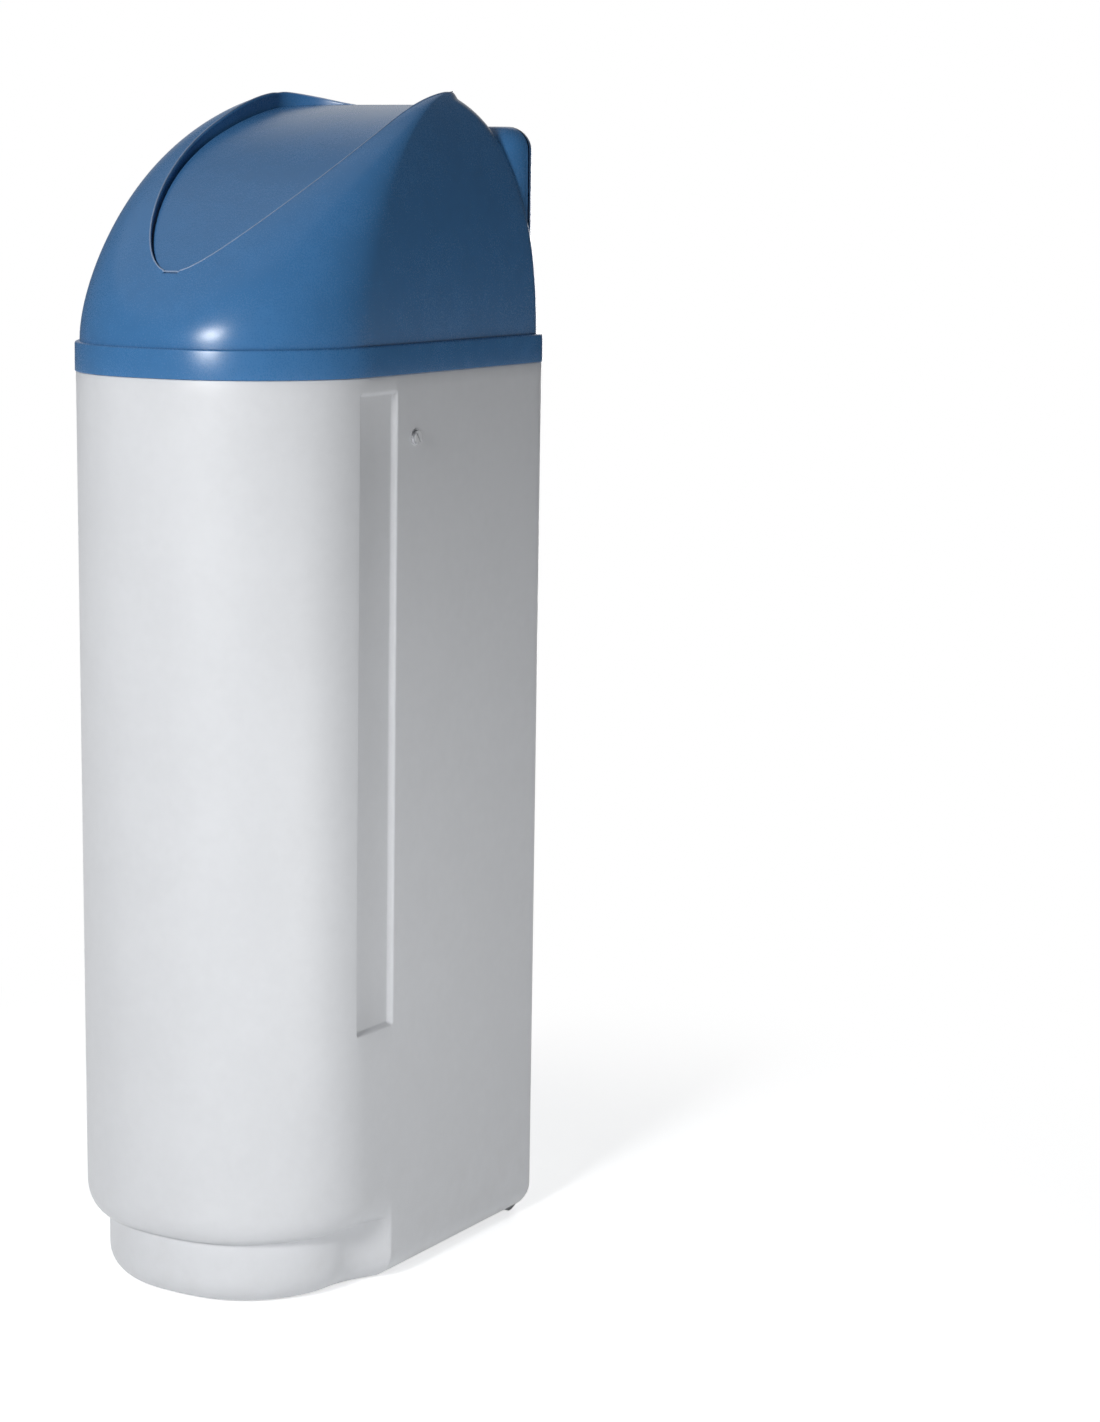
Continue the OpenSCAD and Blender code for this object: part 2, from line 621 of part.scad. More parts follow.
module hood() color(blue) translate([0, 0, cabinet_h]) resize([hood_w, hood_d, hood_rise])
  translate([0, 0, -cabinet_h]) hood_shell();

// The visor rocks on two pins in the cheeks: its tail swings down behind them
bush_r = hinge_pin_r + 1.5;
hinge_z = reach(visor_curve, 0, hinge_y)[1] - hinge_r - 0.1;
module visor() {
  color(blue) difference() {
    union() {
      band(0, visor_t, -0.01, -far, visor_end_y);
      for (s = [-1, 1]) bar_x(hinge_r, s * (visor_x - 20), s * (visor_x - 0.3), hinge_y, hinge_z);
    }
    for (s = [-1, 1]) bar_x(hinge_pin_r, s * (visor_x - 14), s * (visor_x + 5), hinge_y, hinge_z);
  }
}
module visor_pins() color(steel) for (s = [-1, 1])
  bar_x(hinge_pin_r, s * (visor_x - 14), s * (visor_x + visor_gap + hood_wall - 0.3), hinge_y, hinge_z);
module visor_bushes() color(black) for (s = [-1, 1]) translate([s * (visor_x + visor_gap), hinge_y, hinge_z])
  rotate([0, s * 90, 0]) difference() {
    cylinder(r = bush_r, h = hood_wall);
    translate([0, 0, -1]) cylinder(r = hinge_pin_r + run_fit, h = hood_wall + 2);
  }

// Resin tank with domed ends, standing in a boot
tank_z0 = wall + 14;
tank_dome = 46;
tank_top = deck_z - deck_t - 8;
function dome(r, h, z, s) = [for (a = [0:15:90]) [r * cos(a), z + s * h * sin(a)]];
function tank_profile(r, d, z0, z1, mouth) = concat(
  [for (i = [6:-1:0]) dome(r, d, z0 + d, -1)[i]],
  [for (p = dome(r, d, z1 - d, 1)) if (p[0] > mouth) p],
  [[mouth, z1 - d + d * sin(acos(mouth / r))]]);
module resin_tank() color(grey) at_tank() difference() {
  rotate_extrude() polygon(concat(tank_profile(tank_r, tank_dome, tank_z0, tank_top, neck_r - 4), [[0, tank_top - 4]]));
  rotate_extrude() polygon(concat(tank_profile(tank_r - tank_wall, tank_dome - tank_wall, tank_z0 + tank_wall,
    tank_top - tank_wall, neck_r - 6), [[0, tank_top - 7]]));
  translate([0, 0, tank_top - 40]) cylinder(r = neck_r - 4, h = 60);
}
module tank_boot() color(black) at_tank() difference() {
  rotate_extrude() polygon([[0, wall], [tank_r - 24, wall], [tank_r - 8, wall + 14], [tank_r - 8, wall + 50], [0, wall + 50]]);
  rotate_extrude() polygon(tank_profile(tank_r + 0.3, tank_dome, tank_z0 - 0.3, tank_top, neck_r - 4));
  translate([0, 0, 0]) cylinder(r = tank_r - 40, h = 100);
}
module tank_neck() color(white) at_tank() {
  tube(neck_r - 4.2, neck_bore_r, tank_top - 24, deck_z - deck_t - 3);
  tube(neck_r, neck_bore_r, deck_z - deck_t - 3, neck_z);
}
riser_top = plate_z + 20;
module riser_tube() color(grey) at_tank() tube(riser_r, riser_r - 2, tank_z0 + 40, riser_top);
module lower_strainer() color(charcoal) at_tank() {
  tube(riser_r + 3, riser_r + 0.2, tank_z0 + 92, tank_z0 + 104);
  for (i = [0:8]) tube(24, 20.5, tank_z0 + 24 + 8 * i, tank_z0 + 29 + 8 * i);
  for (a = [0:60:300]) rotate(a) block(20, 23, -2, 2, tank_z0 + 24, tank_z0 + 96);
  tube(24, riser_r + 0.2, tank_z0 + 90, tank_z0 + 96);
}
module upper_strainer() color(charcoal) at_tank() {
  tube(28, riser_r + 0.6, neck_z - 34, neck_z - 29);
  for (i = [0:4]) tube(28, 25, neck_z - 62 + 7 * i, neck_z - 58 + 7 * i);
  for (a = [0:60:300]) rotate(a) block(25, 27.5, -2, 2, neck_z - 62, neck_z - 30);
  tube(28, riser_r + 0.6, neck_z - 66, neck_z - 62);
}
module resin_bed() color(amber) at_tank() difference() {
  translate([0, 0, tank_z0 + tank_dome + 6]) cylinder(r = tank_r - tank_wall - 0.4, h = resin_top - tank_z0 - tank_dome - 6);
  cylinder(r = 24.5, h = tank_z0 + 100);
  cylinder(r = riser_r + 3.4, h = tank_z0 + 108);
  cylinder(r = riser_r + 0.3, h = far * 2);
}

// Threaded adapter between the tank's neck and the valve
seal_z = neck_z - 8;
module tank_adapter() color(black) at_tank() difference() {
  union() {
    translate([0, 0, neck_z - 25]) cylinder(r = neck_bore_r - 0.3, h = 26);
    translate([0, 0, neck_z + 0.02]) cylinder(r = neck_r - 1, h = 4);
    translate([0, 0, neck_z + 3]) cylinder(r = neck_r - 4, h = plate_rise - 4);
    for (a = [0:30:359]) rotate(a) block(neck_r - 8, neck_r - 2, -4, 4, neck_z + 3, neck_z + 18);
    translate([0, 0, neck_z + 18]) cylinder(r = neck_r + 4, h = plate_rise - 18.02);
    difference() {
      rotate(-56) block(0, neck_r + 13, -13, 13, neck_z + 8, neck_z + plate_rise - 3);
      rotate(-56) block(neck_r - 2, neck_r + 30, -20, 20, neck_z + 16, neck_z + 21);
    }
    rotate(180 - 56) block(0, neck_r + 3.5, -10, 10, neck_z + 14, neck_z + plate_rise - 3);
    for (a = [4, 176]) rotate(a) block(0, neck_r + 14, -3, 3, neck_z + 14, neck_z + plate_rise - 3);
  }
  translate([0, 0, neck_z - 60]) cylinder(r = 22, h = 120);
  translate([0, 0, seal_z]) rotate_extrude() translate([neck_bore_r - 1.8, 0]) square([3, 3.2], center = true);
}
module neck_seal() color(black) at_tank() translate([0, 0, seal_z]) rotate_extrude()
  translate([neck_bore_r - 1.75, 0]) circle(r = 1.5);

// Valve block with its bosses, on a base plate over the tank
module valve_body() {
  color(black) difference() {
    union() {
      slab(plate_x - 4, disc_y0 + 2, manifold_y, plate_z, block_z, 26);
      block(-block_x, block_x, disc_y0, block_rear_y, block_z - 1, block_top);
      block(-block_x, block_x, block_front_y, disc_y0 + 1, block_z + 20, block_top);
      translate([0, caps[0][0], block_z + 4]) cylinder(r = 6, h = 20);
      block(-plate_x, plate_x, manifold_y - 24, manifold_y, port_z - 25, block_z + 10);
      for (c = caps) {
        bar_x(cap_r + 2, 0, block_x + 12, c[0], c[1]);
        bar_x(cap_r + 0.8, 0, block_x + 20, c[0], c[1]);
      }
      bar_x(cap_r, -block_x - 18, 0, drain_y, block_z + 22);
      for (i = [0:disc_count - 1], s = [-1, 1])
        block(s > 0 ? block_x - 1 : -block_x - 6, s > 0 ? block_x + 6 : 1 - block_x,
          disc_y0 + disc_pitch * i + 12, disc_y0 + disc_pitch * i + 17, block_z + 2, block_top - 3);
      for (s = [-1, 1]) difference() {
        block(s * 30 - 5, s * 30 + 5, face_y - 15, block_front_y + 1, block_z + 24, block_z + 38);
        on_face() block(-far, far, -far, bezel_d + 10.05, -far, far);
      }
    }
    at_tank() translate([0, 0, plate_z - 1]) cylinder(r = 22, h = 10);
    at_tank() translate([0, 0, neck_z]) cylinder(r = neck_r + 4.5, h = plate_rise);
    at_tank() translate([0, 0, plate_z]) cylinder(r = riser_r + 0.2, h = 40);
    for (s = [-1, 1]) bar_y(10, manifold_y - 40, manifold_y + 1, s * port_x, port_z);
    for (i = [0:disc_count - 1]) translate([0, disc_y0 + disc_pitch * i, block_top - 12]) cylinder(r = 7, h = 20);
    for (c = caps) bar_x(cap_r - 3, block_x + 4, far, c[0], c[1]);
    bar_x(5, -far, -block_x + 4, drain_y, block_z + 22);
    for (s = [-1, 1]) bar_x(3.1, s * (plate_x - 14), s * far, manifold_y - 12, port_z - 16);
  }
}

// Plate that closes the valve block and carries the camshaft
module valve_top_plate() {
  z1 = top_plate_z + top_plate_t;
  color(charcoal) difference() {
    union() {
      slab(block_x + 6, gear_y - 4, block_rear_y + 2, top_plate_z, z1, 4);
      for (y = [gear_y + 8, block_rear_y - 6]) block(-10, 10, y, y + 8, z1 - 1, cam_z + 9);
      block(motor_x - 12, motor_x + 12, gear_y - 12, gear_y - 6, top_plate_z, cam_z - motor_r - 0.2);
      block(motor_x - 12, motor_x + 12, gear_y - 12, gear_y, top_plate_z, z1);
    }
    bar_y(cam_shaft_r + run_fit, gear_y - 42, block_rear_y + 38, 0, cam_z);
    for (i = [0:disc_count - 1]) translate([0, disc_y0 + disc_pitch * i, 0]) cylinder(r = 3, h = 3 * far);
  }
}
pad_top = cam_z - cam_r - cam_lift - 0.8;
module valve_discs() color(grey) for (i = [0:disc_count - 1]) translate([0, disc_y0 + disc_pitch * i, 0]) {
  translate([0, 0, block_top - 10]) cylinder(r = 6.4, h = 4);
  translate([0, 0, block_top - 7]) cylinder(r = 2.6, h = pad_top - block_top + 6);
  translate([0, 0, pad_top - 3]) cylinder(r = 5, h = 3);
}
module disc_spring() {
  z1 = top_plate_z + top_plate_t;
  color(pale) {
    block(-38, -31, disc_y0 - 8, disc_y0 + disc_pitch * disc_count - 4, z1, pad_top - 3.2);
    for (i = [0:disc_count - 1]) translate([0, disc_y0 + disc_pitch * i, 0]) block(-32, -3.4, -3, 3, pad_top - 4.2, pad_top - 3.2);
  }
}

// Camshaft, with each lobe a step further round
module camshaft() color(white) translate([0, 0, cam_z]) rotate([-90, 0, 0]) {
  translate([0, 0, gear_y - 2]) cylinder(r = cam_shaft_r, h = block_rear_y + 4 - gear_y);
  for (i = [0:disc_count - 1]) translate([0, 0, disc_y0 + disc_pitch * i - 5]) linear_extrude(height = 10) {
    circle(r = cam_r);
    rotate(360 * i / disc_count + 90) translate([cam_lift, 0]) circle(r = cam_r);
  }
}

// Involute teeth, thinned a little for backlash
function involute(rb, t) = let (a = t * 180 / PI) [rb * (cos(a) + t * sin(a)), rb * (sin(a) - t * cos(a))];
function turn(p, a) = [p[0] * cos(a) - p[1] * sin(a), p[0] * sin(a) + p[1] * cos(a)];
module gear_shape(teeth, play) {
  m = gear_module;
  r = m * teeth / 2;
  rb = r * cos(20);
  ra = r + 0.85 * m;
  rd = r - 1.2 * m;
  at_pitch = sqrt(pow(r / rb, 2) - 1);
  half = 90 / teeth - play / r * 180 / PI;
  lean = at_pitch * 180 / PI - atan(at_pitch) + half;
  t_tip = sqrt(pow(ra / rb, 2) - 1);
  flank = concat([[max(rd, 0.1), 0]], [for (k = [0:3]) let (p = involute(rb, t_tip * k / 3)) if (norm(p) > rd) p]);
  polygon([for (i = [0:teeth - 1]) each concat(
    [for (p = flank) turn(p, 360 * i / teeth - lean)],
    [for (k = [len(flank) - 1:-1:0]) turn([flank[k][0], -flank[k][1]], 360 * i / teeth + lean)])]);
}
module gear(teeth, bore, turned) difference() {
  linear_extrude(height = gear_t) rotate(turned) gear_shape(teeth, 0.12);
  translate([0, 0, -1]) cylinder(r = bore, h = gear_t + 2);
}
module cam_gear() color(white) translate([0, gear_y, cam_z]) rotate([-90, 0, 0]) gear(gear_teeth, cam_shaft_r, 180);
module motor_pinion() color(brass) translate([motor_x, gear_y, cam_z]) rotate([-90, 0, 0])
  gear(pinion_teeth, 1.5, 180 / pinion_teeth);
module drive_motor() color(steel) {
  bar_y(motor_r, gear_y - 34, gear_y - 6, motor_x, cam_z);
  bar_y(5, gear_y - 7, gear_y - 4, motor_x, cam_z);
  bar_y(1.5 - run_fit, gear_y - 6, gear_y + gear_t, motor_x, cam_z);
}

// Moulded cover over the camshaft: a loft along the valve with a sloping roof
function cover_top(y) =
  let (t = (y - cover_y0) / (cover_y1 - cover_y0))
  cover_z0 + 46 + 17 * sin(90 * min(1, t / 0.72)) - 49 * pow(max(0, (t - 0.72) / 0.28), 2.2);
function cover_ring(y, inset, drop) =
  let (t = (y - cover_y0) / (cover_y1 - cover_y0), z1 = cover_top(y) - drop)
  let (x = cover_x - inset - 3 * pow(max(0, t), 4), zb = cover_z0 + 9 * max(0, t) - (drop > 0 ? 5 : 0))
  let (zc = max(zb + 1, z1 - 10), zt = max(zc + 1.5, z1))
  [[-x, y, zb], [2 - x, y, zc], [4 - x, y, zc + 0.6 * (zt - zc)], [9 - x, y, zt - 0.12 * (zt - zc)], [40 - x, y, zt],
    [x - 40, y, zt], [x - 9, y, zt - 0.12 * (zt - zc)], [x - 4, y, zc + 0.6 * (zt - zc)], [x - 2, y, zc], [x, y, zb]];
module valve_cover() {
  ys = [0, 0.18, 0.36, 0.52, 0.66, 0.74, 0.8, 0.86, 0.91, 0.95, 0.98, 1];
  w = cover_wall;
  color(charcoal) difference() {
    skin([for (u = ys) cover_ring(cover_y0 + (cover_y1 - cover_y0) * u, 0, 0)]);
    skin([for (u = ys) cover_ring(cover_y0 + w + (cover_y1 - cover_y0 - 4 * w) * u, w, w)]);
  }
}
module cover_latches() color(black) for (s = [-1, 1], q = [[disc_y0 + 26, 3.4], [block_rear_y - 6, 4.8]]) let (y = q[0], in = q[1]) {
  block(s > 0 ? cover_x - in - 2 : in - cover_x, s > 0 ? cover_x - in : in + 2 - cover_x, y, y + 9, block_top - 8, cover_z0 + 11);
  block(s > 0 ? block_x + 6.1 : in - cover_x, s > 0 ? cover_x - in : -block_x - 6.1, y, y + 9, block_top - 12, block_top - 7);
}
module inspection_caps() color(white) for (c = caps) difference() {
  union() {
    bar_x(cap_r, block_x + 20.05, block_x + 23, c[0], c[1]);
    bar_x(cap_r - 3.2, block_x + 8, block_x + 21, c[0], c[1]);
  }
  for (a = [0, 60, 120]) translate([block_x + 23, c[0], c[1]]) rotate([a, 0, 0]) cube([4, 3.2, cap_r * 1.25], center = true);
}

// Controller: a bevelled frame that leans back, with a hollow behind its face
module frame_plate(w, h, y, r) hull() for (x = [r - w / 2, w / 2 - r], z = [r - h / 2, h / 2 - r])
  translate([x, y, z]) rotate([-90, 0, 0]) cylinder(r = r, h = 0.5, $fn = 32);
button_gap = 0.35;
module oval(rx, rz, y0, y1) {
  d = rx - rz;
  if (d > 0.1) block(-d, d, y0, y1, -rz, rz);
  for (s = d > 0.1 ? [-1, 1] : [0]) bar_y(rz, y0, y1, s * d, 0);
}
// A thin slab in the shape of the face plate, wider at the top
module face_outline(grow, rise, y, t) translate([0, y, 0]) rotate([90, 0, 0]) translate([0, 0, -t]) linear_extrude(height = t)
  polygon([[plate_taper - plate_w / 2 - grow, plate_mid_z - plate_h / 2 - grow], [plate_w / 2 - plate_taper + grow, plate_mid_z - plate_h / 2 - grow],
    [plate_w / 2 + grow, plate_mid_z + plate_h / 2 + rise], [-plate_w / 2 - grow, plate_mid_z + plate_h / 2 + rise]]);
module bezel() color(black) on_face() difference() {
  union() {
    hull() {
      frame_plate(bezel_w, bezel_h, bezel_d - 0.5, 7);
      frame_plate(bezel_w - 2 * bezel_bevel, bezel_h - bezel_bevel, 0, 5);
      translate([0, bezel_d - 0.5, bezel_h / 2 - 210]) rotate([-90, 0, 0]) intersection() {
        cylinder(r = 216, h = 0.5, $fn = 120);
        translate([-bezel_w / 2 + 22, -220, 0]) cube([bezel_w - 44, 60, 1]);
      }
    }
    block(-58, 58, bezel_d - 1, bezel_d + 10, -50, 48);
  }
  difference() {
    block(-55, 55, face_in + 4, bezel_d + 20, -47, 45);
    for (s = [-1, 1]) block(s * 30 - 6, s * 30 + 6, face_in, bezel_d + 10, -50, -26);
  }
  face_outline(0.2, 0.2, -5, face_in + 6.2);
  hull() {
    face_outline(6, 9, -0.1, 0.1);
    face_outline(0.2, 0.2, face_in - 0.2, 0.1);
  }
  translate([0, 0, panel_z]) button_boat(0.2, -5, 2);
  block(-42, 38, -5, 6, panel_z - 7.5, panel_z + 7.5);
  block(-far, far, -0.01, 1.6, -51.5, -50);
}
module bezel_lip() color(black) on_face() {
  for (s = [-1, 1]) bar_y(2, -2.6, -0.05, s * (bezel_w / 2 - 14), -bezel_h / 2 + bezel_bevel / 2 + 3.2);
  translate([0, 0, -bezel_h / 2 + bezel_bevel / 2 + 3.2]) block(14 - bezel_w / 2, bezel_w / 2 - 14, -2.6, -0.05, -2, 2);
}
module face_plate() color(pale) on_face() difference() {
  face_outline(0, 0, face_in, 1.15);
  translate([lcd_mid_x, 0, plate_mid_z]) block(-lcd_w / 2 - 0.2, lcd_w / 2 + 0.2, 0, far, -lcd_h / 2 - 0.2, lcd_h / 2 + 0.2);
}
module lcd_window() color([0.46, 0.53, 0.51]) on_face()
  translate([lcd_mid_x, 0, plate_mid_z]) block(-lcd_w / 2, lcd_w / 2, face_in + 0.3, face_in + 1.15, -lcd_h / 2, lcd_h / 2);
// Boat-shaped outline of the button panel, with a round end about the start button
module button_boat(grow, y0, y1) translate([0, y0, 0]) rotate([-90, 0, 0]) linear_extrude(height = y1 - y0) {
  intersection() {
    translate([0, -113]) circle(r = 125 + grow);
    translate([0, 210]) circle(r = 217 + grow);
    square([100 + 2 * grow, 60], center = true);
  }
  translate([29, 0]) circle(r = 10.5 + grow);
}
module button_panel() color(charcoal) on_face() difference() {
  translate([0, 0, panel_z]) button_boat(0, -0.6, 1.95);
  for (b = buttons) translate([b[1], 0, panel_z]) oval(b[2] + button_gap, b[3] + button_gap, -2, 3);
}
module button(b) color(white) on_face() translate([b[1], 0, panel_z]) {
  oval(b[2], b[3], -2.4, 2.6);
  block(-min(6.5, b[2] + 1), min(6.5, b[2] + 1), 2.2, 3.2, -6, 6);
  bar_y(1.6, 3, 4.4, 0, 0);
}
module button_down() button(buttons[0]);
module button_set() button(buttons[1]);
module button_up() button(buttons[2]);
module button_start() button(buttons[3]);
module circuit_board() color(green) on_face() {
  block(-54, 54, 15, 16.6, -24, 44);
  for (x = [-50, 50], z = [-12, 40]) bar_y(2, face_in + 4.02, 15.1, x, z);
  for (x = [-20, 6, 30]) block(x, x + 14, 16.5, 20, -10, 8);
}

// Air check cup beside the valve, with its ball, elbow and tube
ball_r = 8;
ball_seat_r = 4;
module cup_socket() color(black) difference() {
  union() {
    at_cup() translate([0, 0, plate_z - 1]) cylinder(r = cup_r + 1.5, h = cup_z - plate_z + 4);
    at_cup() tube(cup_r + 4, cup_r - 4, cup_z - 8, cup_z - 3);
    block(plate_x + 0.02, cup_x - cup_r - 1, cup_y - 10, cup_y + 10, plate_z, block_z - 2);
    block(cup_x + 4, cup_x + 20, cup_y - cup_r - 8, cup_y - cup_r + 4, plate_z - 6, plate_z + 5);
    translate([cup_x + 14, cup_y - 23, plate_z - 20]) cylinder(r = 5.6, h = 25);
  }
  at_cup() translate([0, 0, cup_z]) cylinder(r = cup_r + 0.2, h = 40);
  at_cup() translate([0, 0, plate_z - 2]) cylinder(r = ball_seat_r, h = 40);
  translate([cup_x + 14, cup_y - 23, plate_z - 5]) cylinder(r = 3.05, h = 40);
}
module air_check_cup() color(clear) at_cup() difference() {
  union() {
    translate([0, 0, cup_z + 0.05]) cylinder(r = cup_r, h = cup_h);
    bar_x(7.5, 0, cup_r + 4, 0, elbow_z);
  }
  translate([0, 0, cup_z - 1]) cylinder(r = cup_r - 2, h = cup_h - 3);
  bar_x(4, 0, cup_r + 10, 0, elbow_z);
}
module air_check_ball() color(white) at_cup() translate([0, 0, cup_z + sqrt(ball_r * ball_r - ball_seat_r * ball_seat_r) + 0.05]) sphere(r = ball_r);
module cup_elbow() color(white) difference() {
  union() {
    bar_x(8, cup_x + cup_r + 4.05, tube_x, cup_y, elbow_z);
    translate([tube_x, cup_y, elbow_z]) sphere(r = 9);
    translate([tube_x, cup_y, elbow_z - 19]) cylinder(r = 9, h = 19);
    translate([tube_x, cup_y, elbow_z - 26]) cylinder(r = 7, h = 8);
  }
  translate([tube_x, cup_y, elbow_z - 34]) cylinder(r = tube_r + 0.1, h = 26);
}
module elbow_nut() color(white) translate([tube_x, cup_y, elbow_z - 39]) difference() {
  union() {
    cylinder(r = 9.6, h = 18);
    for (a = [0:20:359]) rotate(a) translate([9.6, 0, 2]) cylinder(r = 0.9, h = 15);
  }
  translate([0, 0, 12.8]) cylinder(r = 7.1, h = 10);
  translate([0, 0, -1]) cylinder(r = tube_r + 0.1, h = 30);
}
tube_route = [[tube_x, cup_y, elbow_z - 12], [tube_x, cup_y, deck_z + 20], [tube_x, cup_y, deck_z - 22],
  [tube_x + 1, cup_y - 12, deck_z - 36], [tube_x + 3, cup_y - 50, deck_z - 41], [tube_down_x, well_y + 14, deck_z - 44],
  [tube_down_x, well_y, deck_z - 58], [tube_down_x, well_y, deck_z - 90], [tube_down_x, well_y, 108]];
module brine_tube() color(clear) cord(concat(spline(tube_route, 5), [tube_route[8]]), tube_r, [1, 0, 0], 12);
module brass_stem() color(brass) translate([cup_x + 14, cup_y - 23, 0]) {
  translate([0, 0, plate_z - 4.9]) cylinder(r = 3, h = 52);
  translate([0, 0, plate_z + 5.1]) cylinder(r = 4.2, h = 3);
  translate([0, 0, plate_z + 40]) cylinder(r = 3.7, h = 5);
}

// Water manifold behind the valve, with the meter in its left port
module manifold() color(black) difference() {
  union() {
    block(-plate_x, plate_x, manifold_y + 0.05, manifold_y + manifold_d, port_z - 25, port_z + 24);
    bar_x(19, plate_x - 2, plate_x + 12, manifold_y + manifold_d / 2, port_z);
    for (s = [-1, 1]) bar_y(18, manifold_y + manifold_d - 1, manifold_y + manifold_d + 3, s * port_x, port_z);
  }
  for (s = [-1, 1]) bar_y(10, manifold_y - 1, manifold_y + manifold_d + 10, s * port_x, port_z);
  block(0, plate_x + 0.05, manifold_y - manifold_d, manifold_y + 0.05, port_z - 30, port_z + 30);
}
module manifold_bolts() color(steel) for (s = [-1, 1]) {
  translate([s * (plate_x + 0.05), manifold_y - 12, port_z - 16]) rotate([0, s * 90, 0]) cylinder(r = 7.5, h = 5, $fn = 6);
  bar_x(3, s * (plate_x - 12), s * (plate_x + 1), manifold_y - 12, port_z - 16);
}
port_y0 = manifold_y + manifold_d + 3.05;
module water_ports() color(charcoal) for (s = [-1, 1]) translate([s * port_x, port_y0, port_z]) rotate([-90, 0, 0])
  difference() {
    cylinder(r = port_r, h = port_l);
    translate([0, 0, -1]) cylinder(r = 9.6, h = port_l + 2);
  }
module meter_cage() color(white) translate([-port_x, manifold_y + 2, port_z]) rotate([-90, 0, 0]) difference() {
  union() {
    tube(9.9, 8.8, 0, 18);
    for (z = [0, 16], a = [0, 90]) translate([0, 0, z]) rotate(a) block(-9, 9, -1, 1, 0, 2);
    for (z = [0, 16]) translate([0, 0, z]) cylinder(r = 2.4, h = 2);
  }
  translate([0, 0, -1]) cylinder(r = 1 + run_fit, h = 30);
}
module meter_rotor() color(blue) translate([-port_x, manifold_y + 2, port_z]) rotate([-90, 0, 0]) {
  translate([0, 0, 0.2]) cylinder(r = 1, h = 17.6);
  translate([0, 0, 3]) cylinder(r = 2.2, h = 12);
  for (a = [0:60:359]) rotate(a) translate([0, 0, 9]) rotate([35, 0, 0]) translate([1.5, -0.5, -4]) cube([6.4, 1, 8]);
}
module drain_barb() color(white) translate([-block_x - 18.05, drain_y, block_z + 22]) rotate([0, -90, 0]) difference() {
  union() {
    cylinder(r = 9, h = 8, $fn = 6);
    cylinder(r = 5, h = 34);
    for (z = [14, 20, 26]) translate([0, 0, z]) cylinder(r1 = 6.6, r2 = 5, h = 5);
    translate([0, 0, -10]) cylinder(r = 4.9, h = 12);
  }
  translate([0, 0, -20]) cylinder(r = 3.4, h = 80);
}
cable_route = [[46, cover_y1 + 1.8, cover_z0 + 12], [61, manifold_y + 24, cover_z0 + 15], [85, manifold_y + 28, cover_z0 + 8],
  [104, manifold_y + 29, cover_z0 - 1], [110, manifold_y + 27, cover_z0 - 10], [102, manifold_y + 25, cover_z0 - 17],
  [88, manifold_y + 23, cover_z0 - 18], [78, manifold_y + 18, cover_z0 - 26], [76, manifold_y + 13, cover_z0 - 44],
  [69, manifold_y + 11, port_z + 19.2]];
module sensor_cable() color(grey) cord(concat(spline(cable_route, 5), [cable_route[9]]), 1.75, [0, 1, 0.2], 8);

// Brine well with its float valve, and the grid that carries the salt
module brine_well() color(white) at_well() difference() {
  translate([0, 0, wall + 14]) cylinder(r = well_r, h = deck_z - 60 - wall - 14);
  translate([0, 0, wall]) cylinder(r = well_r - 2, h = deck_z);
  for (a = [0:45:359], z = [40, 60, 80]) rotate(a) translate([0, 0, z]) rotate([90, 0, 0]) cylinder(r = 4, h = well_r + 5);
}
module well_cap() color(black) at_well() difference() {
  union() {
    translate([0, 0, deck_z - 59.9]) cylinder(r = well_r + 2, h = 4);
    translate([0, 0, deck_z - 70]) cylinder(r = well_r - 2.2, h = 12);
  }
  translate([0, 0, deck_z - 80]) cylinder(r = well_r - 5, h = 18);
  translate([28, 0, deck_z - 90]) cylinder(r = tube_r + 0.4, h = 60);
}
module float_valve() color(white) at_well() difference() {
  union() {
    translate([0, 0, wall + 16]) cylinder(r = 15, h = 84);
    for (a = [0:120:359]) rotate(a + 60) block(0, well_r - 2.3, -2, 2, wall + 18, wall + 34);
    bar_x(6.5, 0, 28, 0, 94);
    translate([28, 0, 86]) cylinder(r = 6.5, h = 34);
  }
  translate([0, 0, 60]) cylinder(r = 2.9, h = 80);
  translate([28, 0, 104]) cylinder(r = tube_r + 0.1, h = 40);
}
module brine_float() color(pale) at_well() {
  translate([0, 0, 66]) cylinder(r = 2.6, h = 520);
  translate([0, 0, 420]) cylinder(r = float_r - 4, h = 4);
  translate([0, 0, 424]) cylinder(r = float_r - 3, h = 60);
}
module salt_grid() {
  rim = [for (p = cabinet_ring(grid_z, grid_z, 0, wall + recess_depth + 3)) if (p[1] < well_y - well_r + 6) [p[0], p[1]]];
  color(white) difference() {
    union() {
      translate([0, 0, grid_z]) linear_extrude(height = 5) polygon(rim);
      for (x = [-66, -8, 50], y = [front_y + 102, front_y + 172]) translate([x, y, wall + 0.05]) cylinder(r = 13, h = grid_z - wall);
    }
    at_tank() cylinder(r = tank_r + 3, h = far);
    at_well() cylinder(r = well_r + 2, h = far);
    for (x = [-110:20:110], y = [front_y + 32:20:tank_y - 135])
      if (norm([x, (y - tank_y + 155) * 0.75]) < half_w - 37) translate([x, y, grid_z - 1]) cylinder(r = 4, h = 10);
  }
}
